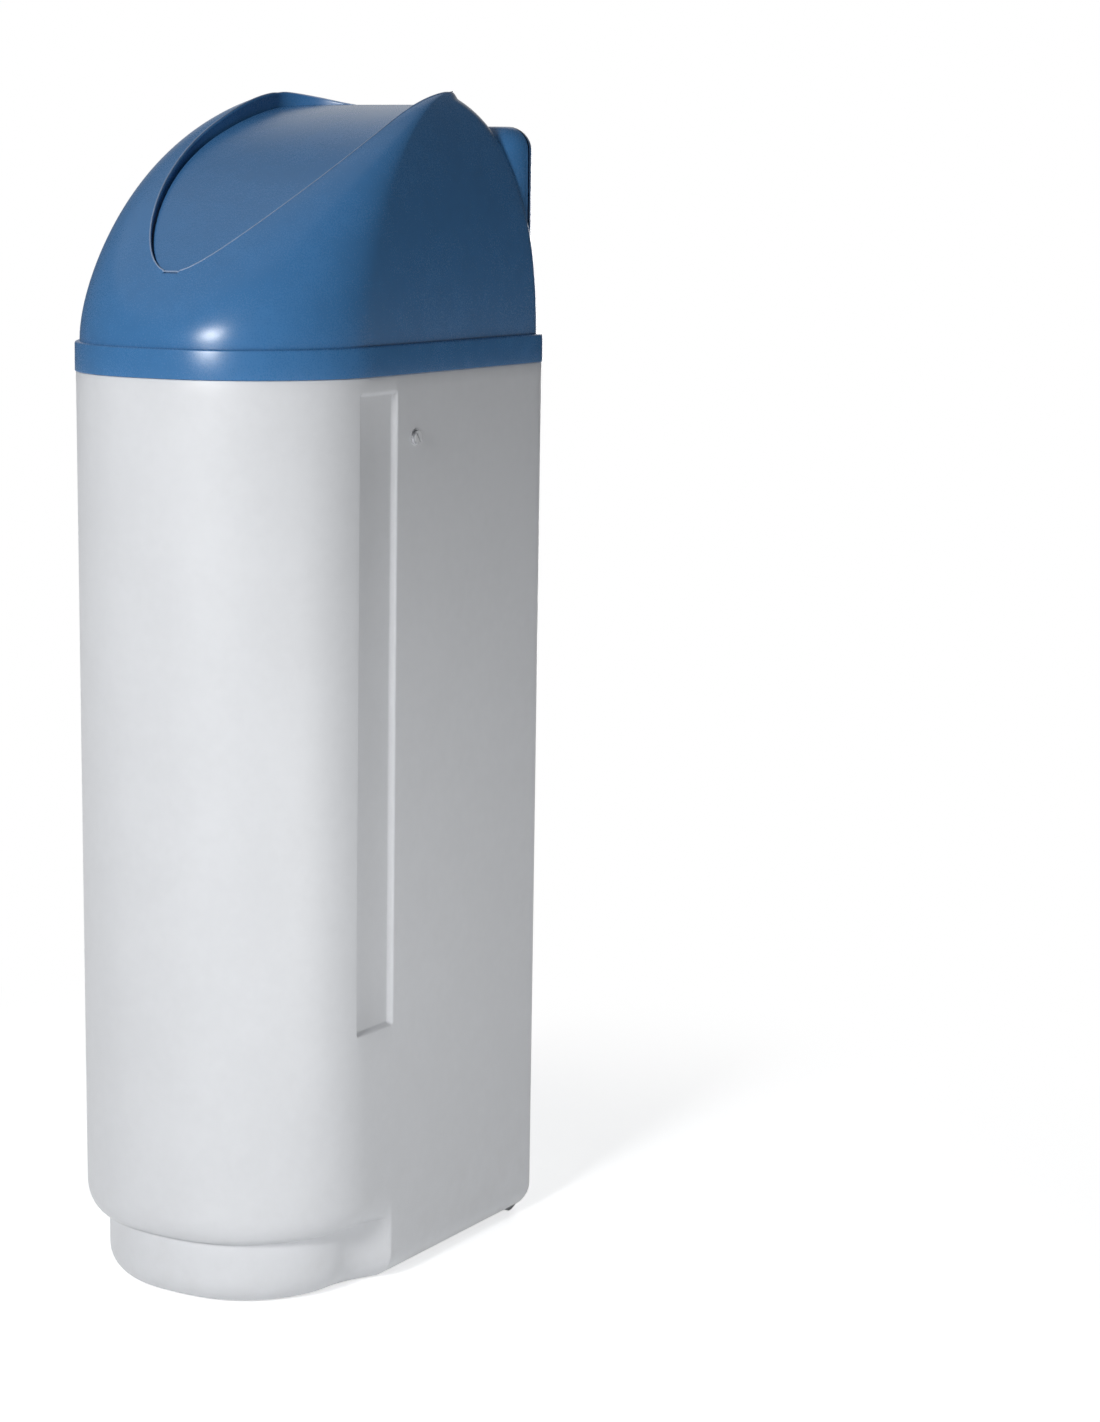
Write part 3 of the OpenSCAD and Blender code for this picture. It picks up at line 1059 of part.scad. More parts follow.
module overflow_elbow() {
  y0 = rear_y - draft * (1 - overflow_z / cabinet_h);
  color(black) translate([overflow_x, 0, overflow_z]) difference() {
    union() {
      bar_y(10.8, y0 - wall - 6, y0 + 1, 0, 0);
      bar_y(16, y0 - wall - 5, y0 - wall - 0.1, 0, 0);
      bar_y(15, y0 + 0.1, y0 + 4, 0, 0);
      bar_y(8, y0 + 1, y0 + 20, 0, 0);
      translate([0, y0 + 20, 0]) sphere(r = 8);
      translate([0, y0 + 20, -30]) cylinder(r = 6.4, h = 30);
      for (z = [-30, -23]) translate([0, y0 + 20, z]) cylinder(r1 = 6.4, r2 = 8, h = 5);
    }
    bar_y(5, y0 - 30, y0 + 20, 0, 0);
    translate([0, y0 + 20, -40]) cylinder(r = 4.4, h = 40);
  }
}

cabinet();
top_deck();
deck_screws();
salt_lid();
hood();
visor();
visor_pins();
visor_bushes();
resin_tank();
tank_boot();
tank_neck();
riser_tube();
lower_strainer();
upper_strainer();
resin_bed();
tank_adapter();
neck_seal();
valve_body();
valve_top_plate();
valve_discs();
disc_spring();
camshaft();
cam_gear();
motor_pinion();
drive_motor();
valve_cover();
cover_latches();
inspection_caps();
bezel();
bezel_lip();
face_plate();
lcd_window();
button_panel();
button_down();
button_set();
button_up();
button_start();
circuit_board();
cup_socket();
air_check_cup();
air_check_ball();
cup_elbow();
elbow_nut();
brine_tube();
brass_stem();
manifold();
manifold_bolts();
water_ports();
meter_cage();
meter_rotor();
drain_barb();
sensor_cable();
brine_well();
well_cap();
float_valve();
brine_float();
salt_grid();
overflow_elbow();
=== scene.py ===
import math

import bmesh
import bpy
from bpy.props import FloatProperty, FloatVectorProperty, PointerProperty
from mathutils import Matrix, Vector
from mathutils.bvhtree import BVHTree


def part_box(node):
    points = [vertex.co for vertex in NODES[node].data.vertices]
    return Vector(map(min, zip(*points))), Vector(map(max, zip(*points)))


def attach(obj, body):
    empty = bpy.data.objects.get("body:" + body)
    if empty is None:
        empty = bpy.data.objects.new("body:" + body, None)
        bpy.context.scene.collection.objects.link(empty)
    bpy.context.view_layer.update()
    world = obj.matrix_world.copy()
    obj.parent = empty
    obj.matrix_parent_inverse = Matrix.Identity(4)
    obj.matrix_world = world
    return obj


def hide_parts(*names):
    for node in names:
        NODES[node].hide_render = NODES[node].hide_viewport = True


bl_info = {
    "name": "Cabinet water softener",
    "version": (1, 0, 0),
    "blender": (4, 5, 0),
    "location": "3D View > Sidebar > Softener",
    "description": "Dresses the packed water softener with its mouldings, finishes and a plain studio",
    "category": "Object",
}

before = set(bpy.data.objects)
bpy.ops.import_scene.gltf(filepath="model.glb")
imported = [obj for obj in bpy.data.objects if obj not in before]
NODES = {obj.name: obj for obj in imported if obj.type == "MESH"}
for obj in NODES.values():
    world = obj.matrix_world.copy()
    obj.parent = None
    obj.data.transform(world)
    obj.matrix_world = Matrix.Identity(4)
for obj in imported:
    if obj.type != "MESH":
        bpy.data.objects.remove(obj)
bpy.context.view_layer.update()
CAB_LOW, CAB_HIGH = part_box("cabinet")
HOOD_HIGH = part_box("hood")[1]
MM = 0.001


# Sizes and colours

def length(name, text, default):
    """A size in metres for the sidebar."""
    return FloatProperty(name=name, description=text, default=default, min=0.0, unit="LENGTH", precision=4)


def paint(name, text, default):
    """A colour for the sidebar."""
    return FloatVectorProperty(
        name=name, description=text, default=default, size=3, min=0.0, max=1.0, subtype="COLOR")


class SoftenerSizes(bpy.types.PropertyGroup):
    """Sizes of the mouldings that a user may change."""

    wall: length("Wall", "Wall of the blow-moulded cabinet", 0.004)
    draft: length("Draft", "How much each side draws in from the shoulder to the floor", 0.005)
    bow: length("Front bow", "Radius of the bowed front in plan", 0.300)
    corner: length("Front corner", "Radius of the two front corners in plan", 0.141)
    rear_corner: length("Rear corner", "Radius of the two rear corners in plan", 0.019)
    foot: length("Foot", "Height of the set-back foot", 0.064)
    foot_step: length("Foot step", "How far the foot is set back", 0.021)
    recess: length("Side recess", "Depth of the recess in each side", 0.005)
    hood_skirt: length("Hood skirt", "Height of the skirt round the hood", 0.028)
    hood_step: length("Hood step", "Step from the skirt in to the dome", 0.005)
    hood_wall: length("Hood wall", "Wall of the hood", 0.003)
    visor_half: length("Visor half width", "Half width of the visor band", 0.100)
    visor_gap: length("Visor gap", "Gap between the visor and the hood", 0.0015)
    rim_round: length("Rim rounding", "Rounding of the hood's edge along the visor", 0.0022)
    lid: length("Salt lid", "Radius of the salt lid", 0.135)


class SoftenerColours(bpy.types.PropertyGroup):
    """Colours of the finishes."""

    body: paint("Cabinet", "Cool white of the cabinet and deck", (0.72, 0.733, 0.757))
    hood: paint("Hood", "Blue of the hood and visor", (0.052, 0.180, 0.400))
    black: paint("Black", "Black of the valve and the bezel", (0.014, 0.016, 0.017))
    lid: paint("Salt lid", "Black of the salt lid", (0.010, 0.010, 0.011))
    cover: paint("Valve cover", "Charcoal of the valve cover", (0.070, 0.069, 0.072))
    face: paint("Face plate", "Pale film of the controller's face", (0.55, 0.62, 0.70))
    panel: paint("Button panel", "Grey of the button panel", (0.080, 0.087, 0.110))
    display: paint("Display", "Grey green of the display", (0.150, 0.200, 0.185))
    trim: paint("Trim", "White of the buttons and fittings", (0.80, 0.81, 0.82))
    tank: paint("Tank", "Grey of the resin tank", (0.30, 0.31, 0.33))


# Shader expressions

class Wire:
    """A socket of a tree. Arithmetic on it adds Math nodes."""

    def __init__(self, nodes, socket):
        self.nodes = nodes
        self.socket = socket

    def __add__(self, other):
        return self.nodes.sum_of("ADD", self, other)

    def __radd__(self, other):
        return self.nodes.sum_of("ADD", other, self)

    def __sub__(self, other):
        return self.nodes.sum_of("SUBTRACT", self, other)

    def __rsub__(self, other):
        return self.nodes.sum_of("SUBTRACT", other, self)

    def __mul__(self, other):
        return self.nodes.sum_of("MULTIPLY", self, other)

    def __rmul__(self, other):
        return self.nodes.sum_of("MULTIPLY", other, self)

    def __truediv__(self, other):
        return self.nodes.sum_of("DIVIDE", self, other)

    def above(self, edge):
        """1 where the value is greater than the edge."""
        return self.nodes.sum_of("GREATER_THAN", self, edge)

    def below(self, edge):
        """1 where the value is less than the edge."""
        return self.nodes.sum_of("LESS_THAN", self, edge)

    def size(self):
        """The value without its sign."""
        return self.nodes.sum_of("ABSOLUTE", self, 0.0)

    def clip(self):
        """The value held between 0 and 1."""
        return self.nodes.add("ShaderNodeClamp", inputs={"Value": self})


class Nodes:
    """The nodes of one tree, added by type, settings and sockets."""

    def __init__(self, tree):
        self.tree = tree
        tree.nodes.clear()

    def feed(self, socket, value):
        """Links a wire to a socket, or sets the socket's own value."""
        if isinstance(value, Wire):
            self.tree.links.new(value.socket, socket)
        elif socket.type == "RGBA" and len(value) == 3:
            socket.default_value = (*value, 1.0)
        else:
            socket.default_value = value

    def add(self, kind, settings=None, inputs=None, out=0):
        """Adds a node: its settings first, then the values or wires of its sockets."""
        node = self.tree.nodes.new(kind)
        for key, value in (settings or {}).items():
            setattr(node, key, value)
        for key, value in (inputs or {}).items():
            self.feed(node.inputs[key], value)
        return Wire(self, node.outputs[out])

    def sum_of(self, operation, a, b):
        """One Math node."""
        return self.add("ShaderNodeMath", {"operation": operation}, {0: a, 1: b})

    def along(self, way, other):
        """How far one direction runs along another."""
        return self.add("ShaderNodeVectorMath", {"operation": "DOT_PRODUCT"}, {0: way, 1: other}, out="Value")

    def smooth(self, value, low, high):
        """0 below one limit and 1 above the other, with a soft change between."""
        return self.add("ShaderNodeMapRange", {"interpolation_type": "SMOOTHSTEP"},
                        {"Value": value, "From Min": low, "From Max": high})

    def rays(self):
        """Three values that are 1 for camera, glossy and transmission rays."""
        return [self.add("ShaderNodeLightPath", out=f"Is {kind} Ray")
                for kind in ("Camera", "Glossy", "Transmission")]


class Finish(Nodes):
    """A material that is built node by node round one Principled shader."""

    def __init__(self, name):
        self.material = bpy.data.materials.new(name)
        self.material.use_nodes = True
        super().__init__(self.material.node_tree)
        self.end = self.tree.nodes.new("ShaderNodeOutputMaterial")
        self.shader = self.tree.nodes.new("ShaderNodeBsdfPrincipled")
        self.tree.links.new(self.shader.outputs[0], self.end.inputs["Surface"])
        self.place = self.add("ShaderNodeTexCoord", out="Object")

    def noise(self, grain, detail=3.0, rough=0.55, stretch=None):
        """Noise whose grain is a length in metres, stretched along the axes if asked."""
        place = self.place
        if stretch:
            place = self.add("ShaderNodeVectorMath", {"operation": "MULTIPLY"}, {0: place, 1: stretch})
        return self.add("ShaderNodeTexNoise", {"noise_dimensions": "3D"},
                        {"Vector": place, "Scale": 1.0 / grain, "Detail": detail, "Roughness": rough})

    def axes(self):
        """The three coordinates of the place on the object, in metres."""
        return [self.add("ShaderNodeSeparateXYZ", inputs={"Vector": self.place}, out=i) for i in range(3)]

    def mix(self, share, a, b):
        """A colour between two colours."""
        return self.add("ShaderNodeMix", {"data_type": "RGBA"}, {0: share, 6: a, 7: b}, out=2)

    def soft_edges(self, radius):
        """Normals that round the hard edges over a radius."""
        return self.add("ShaderNodeBevel", {"samples": 4}, {"Radius": radius})

    def edge_share(self, normal):
        """How much of an edge's rounding a place is on, from the rounded normal."""
        flat = self.add("ShaderNodeNewGeometry", out="Normal")
        return self.smooth(1.0 - self.along(normal, flat), 0.01, 0.25)

    def relief(self, height, depth, normal=None):
        """Bump from a height field, of a depth in metres."""
        sockets = {"Height": height, "Distance": depth, "Strength": 1.0}
        if normal is not None:
            sockets["Normal"] = normal
        return self.add("ShaderNodeBump", inputs=sockets)

    def set(self, **values):
        """Sets the shader's sockets: underscores stand for blanks."""
        for key, value in values.items():
            self.feed(self.shader.inputs[key.replace("_", " ")], value)


def shade(colour, factor):
    """A colour made lighter or darker."""
    return tuple(min(1.0, c * factor) for c in colour)


def lift(colour, share):
    """A colour moved towards white."""
    return tuple(c + (1.0 - c) * share for c in colour)


DRIFT_GRAIN, MOTTLE_GRAIN = 0.11, 0.012
DUST, DUST_GRAIN, DUST_HEIGHT = (0.42, 0.40, 0.37), 0.03, 0.16


def moulded(name, colour, rough, grain, depth, vary=0.10, edge=0.0008, wear_and_highlight=0.0, dust=0.0, coat=0.0):
    """Moulded plastic: slow colour drift, fine grain, soft edges, and edges lightened partly as wear and
    partly as a painted highlight.
    """
    f = Finish(name)
    drift = f.noise(DRIFT_GRAIN, 4.0)
    mottle = f.noise(MOTTLE_GRAIN, 3.0)
    fine = f.noise(grain, 2.0, 0.6)
    mixed = drift * 0.65 + mottle * 0.35
    base = f.mix(f.smooth(mixed, 0.32, 0.68), shade(colour, 1.0 - vary), shade(colour, 1.0 + vary))
    normal = f.soft_edges(edge)
    # Edges lighten towards white: partly wear, partly a painted highlight.
    worn_and_highlight = f.edge_share(normal) * f.smooth(mottle, 0.35, 0.65)
    base = f.mix(worn_and_highlight * wear_and_highlight, base, lift(colour, 0.35))
    if dust:
        height = f.axes()[2]
        low = (1.0 - f.smooth(height, 0.0, DUST_HEIGHT)) * f.smooth(f.noise(DUST_GRAIN, 5.0), 0.42, 0.75)
        base = f.mix(low * dust, base, DUST)
    f.set(Base_Color=base,
          Roughness=(rough + (drift - 0.5) * 0.10 + (fine - 0.5) * 0.10 + worn_and_highlight * 0.08).clip(),
          Coat_Weight=coat, Coat_Roughness=0.22, IOR=1.49)
    f.set(Normal=f.relief(fine, depth, f.relief(mottle, depth * 1.6, normal)))
    return f.material


def metal(name, colour, rough, stretch):
    """Drawn or turned metal: fine lines, spots of tarnish and bright edges."""
    f = Finish(name)
    lines = f.noise(0.0006, 2.0, 0.6, stretch)
    spots = f.noise(0.006, 4.0)
    normal = f.soft_edges(0.0004)
    tarnish = f.smooth(spots, 0.52, 0.75)
    f.set(Base_Color=f.mix(tarnish * 0.45, colour, shade(colour, 0.55)), Metallic=1.0,
          Roughness=(rough + (lines - 0.5) * 0.18 + tarnish * 0.2).clip())
    f.set(Normal=f.relief(lines, 0.00003, normal))
    return f.material


def clear_plastic(name, tint, rough, haze):
    """Clear or frosted moulded plastic with faint flow lines."""
    f = Finish(name)
    flow = f.noise(0.004, 3.0, 0.5, (1.0, 1.0, 0.15))
    f.set(Base_Color=f.mix(flow, shade(tint, 0.94), tint), Roughness=(rough + (flow - 0.5) * 0.08).clip(),
          Transmission_Weight=haze, IOR=1.46)
    f.set(Normal=f.relief(flow, 0.00005))
    return f.material


RESIN_BEADS_PER_METRE = 900.0
BAR_PITCH, BAR_ROWS = 0.0105, 0.0155


def bead_bed(name):
    """Amber resin beads packed together."""
    f = Finish(name)
    cells = {"Vector": f.place, "Scale": RESIN_BEADS_PER_METRE}
    beads = f.add("ShaderNodeTexVoronoi", inputs=cells)
    tone = f.add("ShaderNodeTexVoronoi", inputs=cells, out="Color")
    bright = f.add("ShaderNodeSeparateXYZ", inputs={"Vector": tone})
    f.set(Base_Color=f.mix(bright, (0.16, 0.05, 0.012), (0.46, 0.20, 0.05)), Roughness=0.32 + beads * 0.25)
    f.set(Normal=f.relief(1.0 - beads, 0.0005))
    return f.material


def circuit_lacquer(name):
    """Green lacquer with copper runs under it."""
    f = Finish(name)
    runs = f.add("ShaderNodeTexBrick", {"offset": 0.35},
                 {"Vector": f.place, "Scale": 90.0, "Mortar Size": 0.03}, out="Fac")
    drift = f.noise(0.02)
    base = f.mix(drift, (0.012, 0.075, 0.035), (0.02, 0.12, 0.06))
    f.set(Base_Color=f.mix(runs * 0.6, base, (0.10, 0.24, 0.10)), Roughness=0.30 + drift * 0.12)
    f.set(Normal=f.relief(runs, 0.00004, f.soft_edges(0.0003)))
    return f.material


def display_glass(name, colour):
    """The display: a grey-green field with the shadow of its unlit bars under a smooth cover."""
    f = Finish(name)
    across, _, up = f.axes()
    cells = f.sum_of("FRACT", across / BAR_PITCH + 0.37, 0.0)
    rows = f.sum_of("FRACT", up / BAR_ROWS + 0.2, 0.0)
    bars = ((cells - 0.5).size().below(0.34) * (cells - 0.5).size().above(0.27)
            + (rows - 0.5).size().below(0.05)).clip()
    drift = f.noise(0.03)
    field = f.mix(drift, shade(colour, 0.92), shade(colour, 1.1))
    f.set(Base_Color=f.mix(bars * 0.16, field, shade(colour, 0.6)), Roughness=0.14 + drift * 0.06,
          Coat_Weight=0.6, Coat_Roughness=0.06)
    f.set(Normal=f.relief(drift, 0.00004, f.soft_edges(0.0004)))
    return f.material


def cord_sheath(name, colour, rough):
    """Smooth extruded sheath with faint draw lines."""
    f = Finish(name)
    lines = f.noise(0.0012, 3.0, 0.6, (1.0, 1.0, 0.3))
    scuff = f.smooth(f.noise(0.015, 4.0), 0.5, 0.72)
    f.set(Base_Color=f.mix(scuff * 0.35, colour, lift(colour, 0.12)), Roughness=(rough + scuff * 0.12).clip())
    f.set(Normal=f.relief(lines, 0.00005))
    return f.material


FINISHES = {}


def make_finishes():
    """All finishes, by the record's slot names."""
    c = bpy.context.scene.softener_colours
    # Moulded: colour, roughness, grain and its depth in metres, drift, edge rounding, edge lightening (part
    # wear, part painted highlight), dust, coat
    FINISHES.update({
        "body_white": moulded("satin white", tuple(c.body), 0.42, 0.0011, 0.00006, 0.02, 0.0016, 0.1, 0.08),
        "hood_blue": moulded("hood blue", tuple(c.hood), 0.27, 0.0012, 0.00003, 0.05, 0.0010, 0.10),
        # A paler blue for the bead on the visor's rim: a painted highlight along that edge
        "highlight_edge": moulded("painted highlight blue edge", lift(c.hood, 0.22), 0.24, 0.0012, 0.00002, 0.10, 0.0004),
        "lid_black": moulded("lid black", tuple(c.lid), 0.30, 0.0013, 0.00006, 0.2, 0.0012, 0.10),
        "black": moulded("valve black", tuple(c.black), 0.46, 0.0007, 0.00008, 0.2, 0.0006, 0.12),
        "charcoal": moulded("cover charcoal", tuple(c.cover), 0.50, 0.0007, 0.00010, 0.12, 0.0008, 0.12),
        "tank_grey": moulded("tank grey", tuple(c.tank), 0.45, 0.004, 0.00010, 0.10, 0.001, 0.1),
        "resin": bead_bed("resin beads"),
        "rubber": moulded("seal rubber", (0.018, 0.018, 0.018), 0.62, 0.0006, 0.00008, 0.2, 0.0004),
        "steel": metal("zinc plated steel", (0.60, 0.61, 0.63), 0.32, (1.0, 1.0, 0.1)),
        "brass": metal("drawn brass", (0.70, 0.49, 0.17), 0.24, (1.0, 1.0, 0.08)),
        "trim_white": moulded("trim white", tuple(c.trim), 0.34, 0.0008, 0.00004, 0.03, 0.0006, 0.1,
                              coat=0.2),
        "cap_grey": moulded("cap grey", (0.36, 0.37, 0.38), 0.44, 0.0008, 0.00007, 0.08, 0.0006, 0.1),
        "face_pale": moulded("face film", tuple(c.face), 0.38, 0.0005, 0.00003, 0.03, 0.0003),
        "display": display_glass("display", tuple(c.display)),
        "panel_grey": moulded("panel grey", tuple(c.panel), 0.42, 0.0006, 0.00006, 0.08, 0.0005, 0.1),
        "board_green": circuit_lacquer("board lacquer"),
        "clear": clear_plastic("clear cup", (0.95, 0.965, 0.97), 0.08, 0.94),
        "frosted": clear_plastic("frosted white", (0.86, 0.875, 0.88), 0.32, 0.35),
        "rotor_blue": moulded("rotor blue", (0.05, 0.16, 0.5), 0.4, 0.0006, 0.00005, 0.1, 0.0004),
        "cable_grey": cord_sheath("cable sheath", (0.19, 0.19, 0.195), 0.45),
    })


CARRIED = {
    "body_white": ["tank_neck", "brine_well", "salt_grid", "brine_float", "float_valve"],
    "black": ["bezel_lip", "valve_body", "tank_adapter", "cover_latches", "cup_socket", "manifold",
              "tank_boot", "well_cap", "overflow_elbow", "visor_bushes"],
    "charcoal": ["valve_top_plate", "water_ports", "lower_strainer", "upper_strainer"],
    "tank_grey": ["resin_tank", "riser_tube"],
    "resin": ["resin_bed"],
    "rubber": ["neck_seal"],
    "steel": ["deck_screws", "drive_motor", "manifold_bolts", "visor_pins"],
    "brass": ["brass_stem", "motor_pinion"],
    "trim_white": ["meter_cage", "air_check_ball", "drain_barb", "camshaft", "cam_gear", "inspection_caps"],
    "cap_grey": ["valve_discs", "disc_spring"],
    "face_pale": ["face_plate"],
    "display": ["lcd_window"],
    "panel_grey": ["button_panel"],
    "board_green": ["circuit_board"],
    "clear": ["air_check_cup"],
    "frosted": ["cup_elbow", "elbow_nut"],
    "rotor_blue": ["meter_rotor"],
}


# Mesh helpers: shapes are worked out in millimetres

def settled(name, points, faces):
    """A mesh object from points in millimetres, with its normals facing out."""
    mesh = bpy.data.meshes.new(name)
    mesh.from_pydata([Vector(p) * MM for p in points], [], faces)
    form = bmesh.new()
    form.from_mesh(mesh)
    bmesh.ops.remove_doubles(form, verts=form.verts, dist=1e-6)
    bmesh.ops.recalc_face_normals(form, faces=form.faces)
    form.to_mesh(mesh)
    form.free()
    piece = bpy.data.objects.new(name, mesh)
    bpy.context.scene.collection.objects.link(piece)
    return piece


def loft(name, rings):
    """A closed solid through rings that have equal numbers of points."""
    n = len(rings[0])
    points = [p for r in rings for p in r]
    faces = [[j * n + i, j * n + (i + 1) % n, (j + 1) * n + (i + 1) % n, (j + 1) * n + i]
             for j in range(len(rings) - 1) for i in range(n)]
    faces.append(list(range(n))[::-1])
    faces.append([(len(rings) - 1) * n + i for i in range(n)])
    return settled(name, points, faces)


def turned(name, profile, centre, sides):
    """A solid of revolution about an upright axis; the profile runs from axis to axis."""
    points = []
    for k in range(sides):
        a = 2 * math.pi * k / sides
        points += [(centre[0] + r * math.cos(a), centre[1] + r * math.sin(a), z) for r, z in profile]
    n = len(profile)
    faces = [[k * n + i, ((k + 1) % sides) * n + i, ((k + 1) % sides) * n + i + 1, k * n + i + 1]
             for k in range(sides) for i in range(n - 1)]
    return settled(name, points, faces)


def carve(piece, tool, operation="DIFFERENCE"):
    """Cuts a tool from a piece, joins it on, or keeps what they share; the tool goes."""
    step = piece.modifiers.new("carve", "BOOLEAN")
    step.operation = operation
    step.solver = "MANIFOLD"
    step.object = tool
    bpy.context.view_layer.update()
    made = bpy.data.meshes.new_from_object(piece.evaluated_get(bpy.context.evaluated_depsgraph_get()))
    if not made.polygons:
        raise RuntimeError(f"{piece.name}: nothing is left after {tool.name}")
    old = piece.data
    piece.modifiers.clear()
    piece.data = made
    bpy.data.meshes.remove(old)
    bpy.data.objects.remove(tool)


def copy_of(piece):
    """A separate copy of a piece, for use as a tool."""
    twin = piece.copy()
    twin.data = piece.data.copy()
    bpy.context.scene.collection.objects.link(twin)
    return twin


def settle(piece, body, slot, nodes=(), angle=35.0):
    """Smooths a piece, gives it its finish and hangs it on its body in place of CAD nodes."""
    if piece.type == "MESH":
        piece.data.polygons.foreach_set("use_smooth", [True] * len(piece.data.polygons))
        piece.data.set_sharp_from_angle(angle=math.radians(angle))
    piece.data.materials.clear()
    piece.data.materials.append(FINISHES[slot])
    if piece.type == "MESH":
        piece.data.polygons.foreach_set("material_index", [0] * len(piece.data.polygons))
    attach(piece, body)
    if nodes:
        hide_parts(*nodes)
    return piece


def steps(low, high, count):
    """Evenly spaced values, both ends included."""
    return [low + (high - low) * i / count for i in range(count + 1)]


def curve_at(p, t):
    """A point on a cubic curve."""
    a, b, c, d = (1 - t) ** 3, 3 * t * (1 - t) ** 2, 3 * t * t * (1 - t), t ** 3
    return (a * p[0][0] + b * p[1][0] + c * p[2][0] + d * p[3][0],
            a * p[0][1] + b * p[1][1] + c * p[2][1] + d * p[3][1])


def reach(p, axis, value):
    """Where a curve that rises all the way reaches a value of one coordinate."""
    low, high = 0.0, 1.0
    for _ in range(34):
        mid = (low + high) / 2
        if curve_at(p, mid)[axis] < value:
            low = mid
        else:
            high = mid
    return curve_at(p, (low + high) / 2)


def plan_outline(half_w, front, rear, corner, rear_corner, bow, extra=(), fine=40):
    """A bowed plan, anticlockwise from the middle of the front: points with outward normals."""
    def arc(x, y, r, t):
        return (x + r * math.sin(t), y - r * math.cos(t)), (math.sin(t), -math.cos(t))

    a = math.asin((half_w - corner) / (bow - corner))
    cy = front + bow - (bow - corner) * math.cos(a)
    half = [arc(0, front + bow, bow, t) for t in steps(0, a, max(4, fine // 5))[:-1]]
    turns = steps(a, math.pi / 2, fine)
    turns += [math.acos((cy - y) / corner) for y in extra if cy - corner * 0.9 < y < cy - 0.5]
    half += [arc(half_w - corner, cy, corner, t) for t in sorted(turns)]
    side = steps(cy, rear - rear_corner, fine // 2)[1:-1]
    side += [y for y in extra if cy + 0.5 < y < rear - rear_corner]
    half += [((half_w, y), (1.0, 0.0)) for y in sorted(side)]
    half += [arc(half_w - rear_corner, rear - rear_corner, rear_corner, t)
             for t in steps(math.pi / 2, math.pi, max(6, fine // 3))]
    half += [((x, rear), (0.0, 1.0)) for x in steps(half_w - rear_corner, 0, fine // 4)[1:]]
    return half + [((-p[0], p[1]), (-n[0], n[1])) for p, n in half[-2:0:-1]]


def ring(outline, z, inset):
    """One level ring of a plan, drawn in by an amount."""
    return [(p[0] - n[0] * inset, p[1] - n[1] * inset, z) for p, n in outline]


def soft(t):
    """A soft step from 0 to 1."""
    t = max(0.0, min(1.0, t))
    return t * t * (3 - 2 * t)


# Places on the hood, in millimetres
CREST_FROM_REAR = 105
TIP_RISE, TIP_BACK = 94, 2.5
HINGE_AHEAD, WIDEST_AHEAD = 15, 5
VISOR_TAIL, VISOR_DROP, VISOR_REACH = 28, 14, 210
RECESS_TAIL = 50


class Shape:
    """The sizes in millimetres that the cabinet, deck, hood and visor share."""

    def __init__(self):
        s = bpy.context.scene.softener_sizes
        self.half_w = CAB_HIGH.x / MM
        self.front = CAB_LOW.y / MM
        self.rear = CAB_HIGH.y / MM
        self.shoulder = CAB_HIGH.z / MM
        self.top = HOOD_HIGH.z / MM
        for key in ("wall", "draft", "bow", "corner", "rear_corner", "foot", "foot_step", "recess",
                    "hood_skirt", "hood_step", "hood_wall", "visor_half", "visor_gap", "rim_round"):
            setattr(self, key, getattr(s, key) / MM)
        self.proud = HOOD_HIGH.x / MM - self.half_w
        self.dome = self.shoulder + self.hood_skirt
        self.crest = self.rear - CREST_FROM_REAR
        x0 = self.half_w + self.proud - self.hood_step
        y0 = self.front - self.proud + self.hood_step
        y1 = self.rear + self.proud - self.hood_step
        # Cubic curves from the foot of the dome to its crown
        self.front_curve = [(y0, self.dome), (y0, self.dome + 90), (self.crest - 108, self.top - 9),
                            (self.crest, self.top)]
        self.side_curve = [(x0, self.dome), (x0, self.dome + 127), (140, self.top - 35), (100, self.top)]
        self.rear_curve = [(y1, self.dome), (y1, self.dome + 127), (self.crest + 78, self.top - 0.5),
                           (self.crest, self.top)]
        tip_z = self.shoulder + TIP_RISE
        self.tip = (reach(self.front_curve, 1, tip_z)[0] + TIP_BACK, tip_z)
        self.hinge_y = self.crest - HINGE_AHEAD
        self.widest = self.crest - WIDEST_AHEAD
        self.recess_end = self.widest + RECESS_TAIL
        self.visor_end = self.hinge_y + VISOR_TAIL
        self.visor_top = self.top - VISOR_DROP
        self.visor_curve = [self.tip, (self.tip[0] + 88, self.tip[1] + 78),
                            (self.crest - 85, self.visor_top + 3), (self.recess_end, self.visor_top)]

    def visor_at(self, y):
        """Half width of the visor band at a place from front to rear."""
        grow = math.sin(math.pi / 2 * max(0.004, min(1.0, (y - self.tip[0]) / VISOR_REACH)))
        close = max(0.0, 1 - (max(0.0, y - self.widest) / RECESS_TAIL) ** 2)
        return self.visor_half * grow ** 0.55 * math.sqrt(max(0.00002, close))

    def dome_ring(self, u, inset, drop):
        """One ring of the dome, from its foot at 0 to the crest at 1."""
        z = self.dome + (self.top - self.dome) * u
        yf, yr = reach(self.front_curve, 1, z)[0], reach(self.rear_curve, 1, z)[0]
        deep = max(0.5, yr - yf)
        corner = min(10 + (self.corner - self.hood_step - 10) * math.cos(math.pi / 2 * u) ** 1.8, 0.4 * deep)
        rear = min(self.rear_corner + 27 * u ** 2.2, 0.55 * deep)
        bow = self.bow / max(0.08, 1 - u)
        outline = plan_outline(reach(self.side_curve, 1, z)[0], yf, yr, corner, rear, bow)
        return ring(outline, z - drop, min(inset, 0.3 * deep))

    def stations(self, start, end, count):
        """Places along the visor's profile, close together at both ends."""
        rows = []
        for t in steps(0.0, 1.0, count):
            p = curve_at(self.visor_curve, soft(t) if t > 0.5 else t * t * 2)
            if start + 0.5 < p[0] < end - 0.5:
                rows.append(p)
        first = self.tip if start <= self.tip[0] else reach(self.visor_curve, 0, start)
        return [first] + rows + [reach(self.visor_curve, 0, end)]


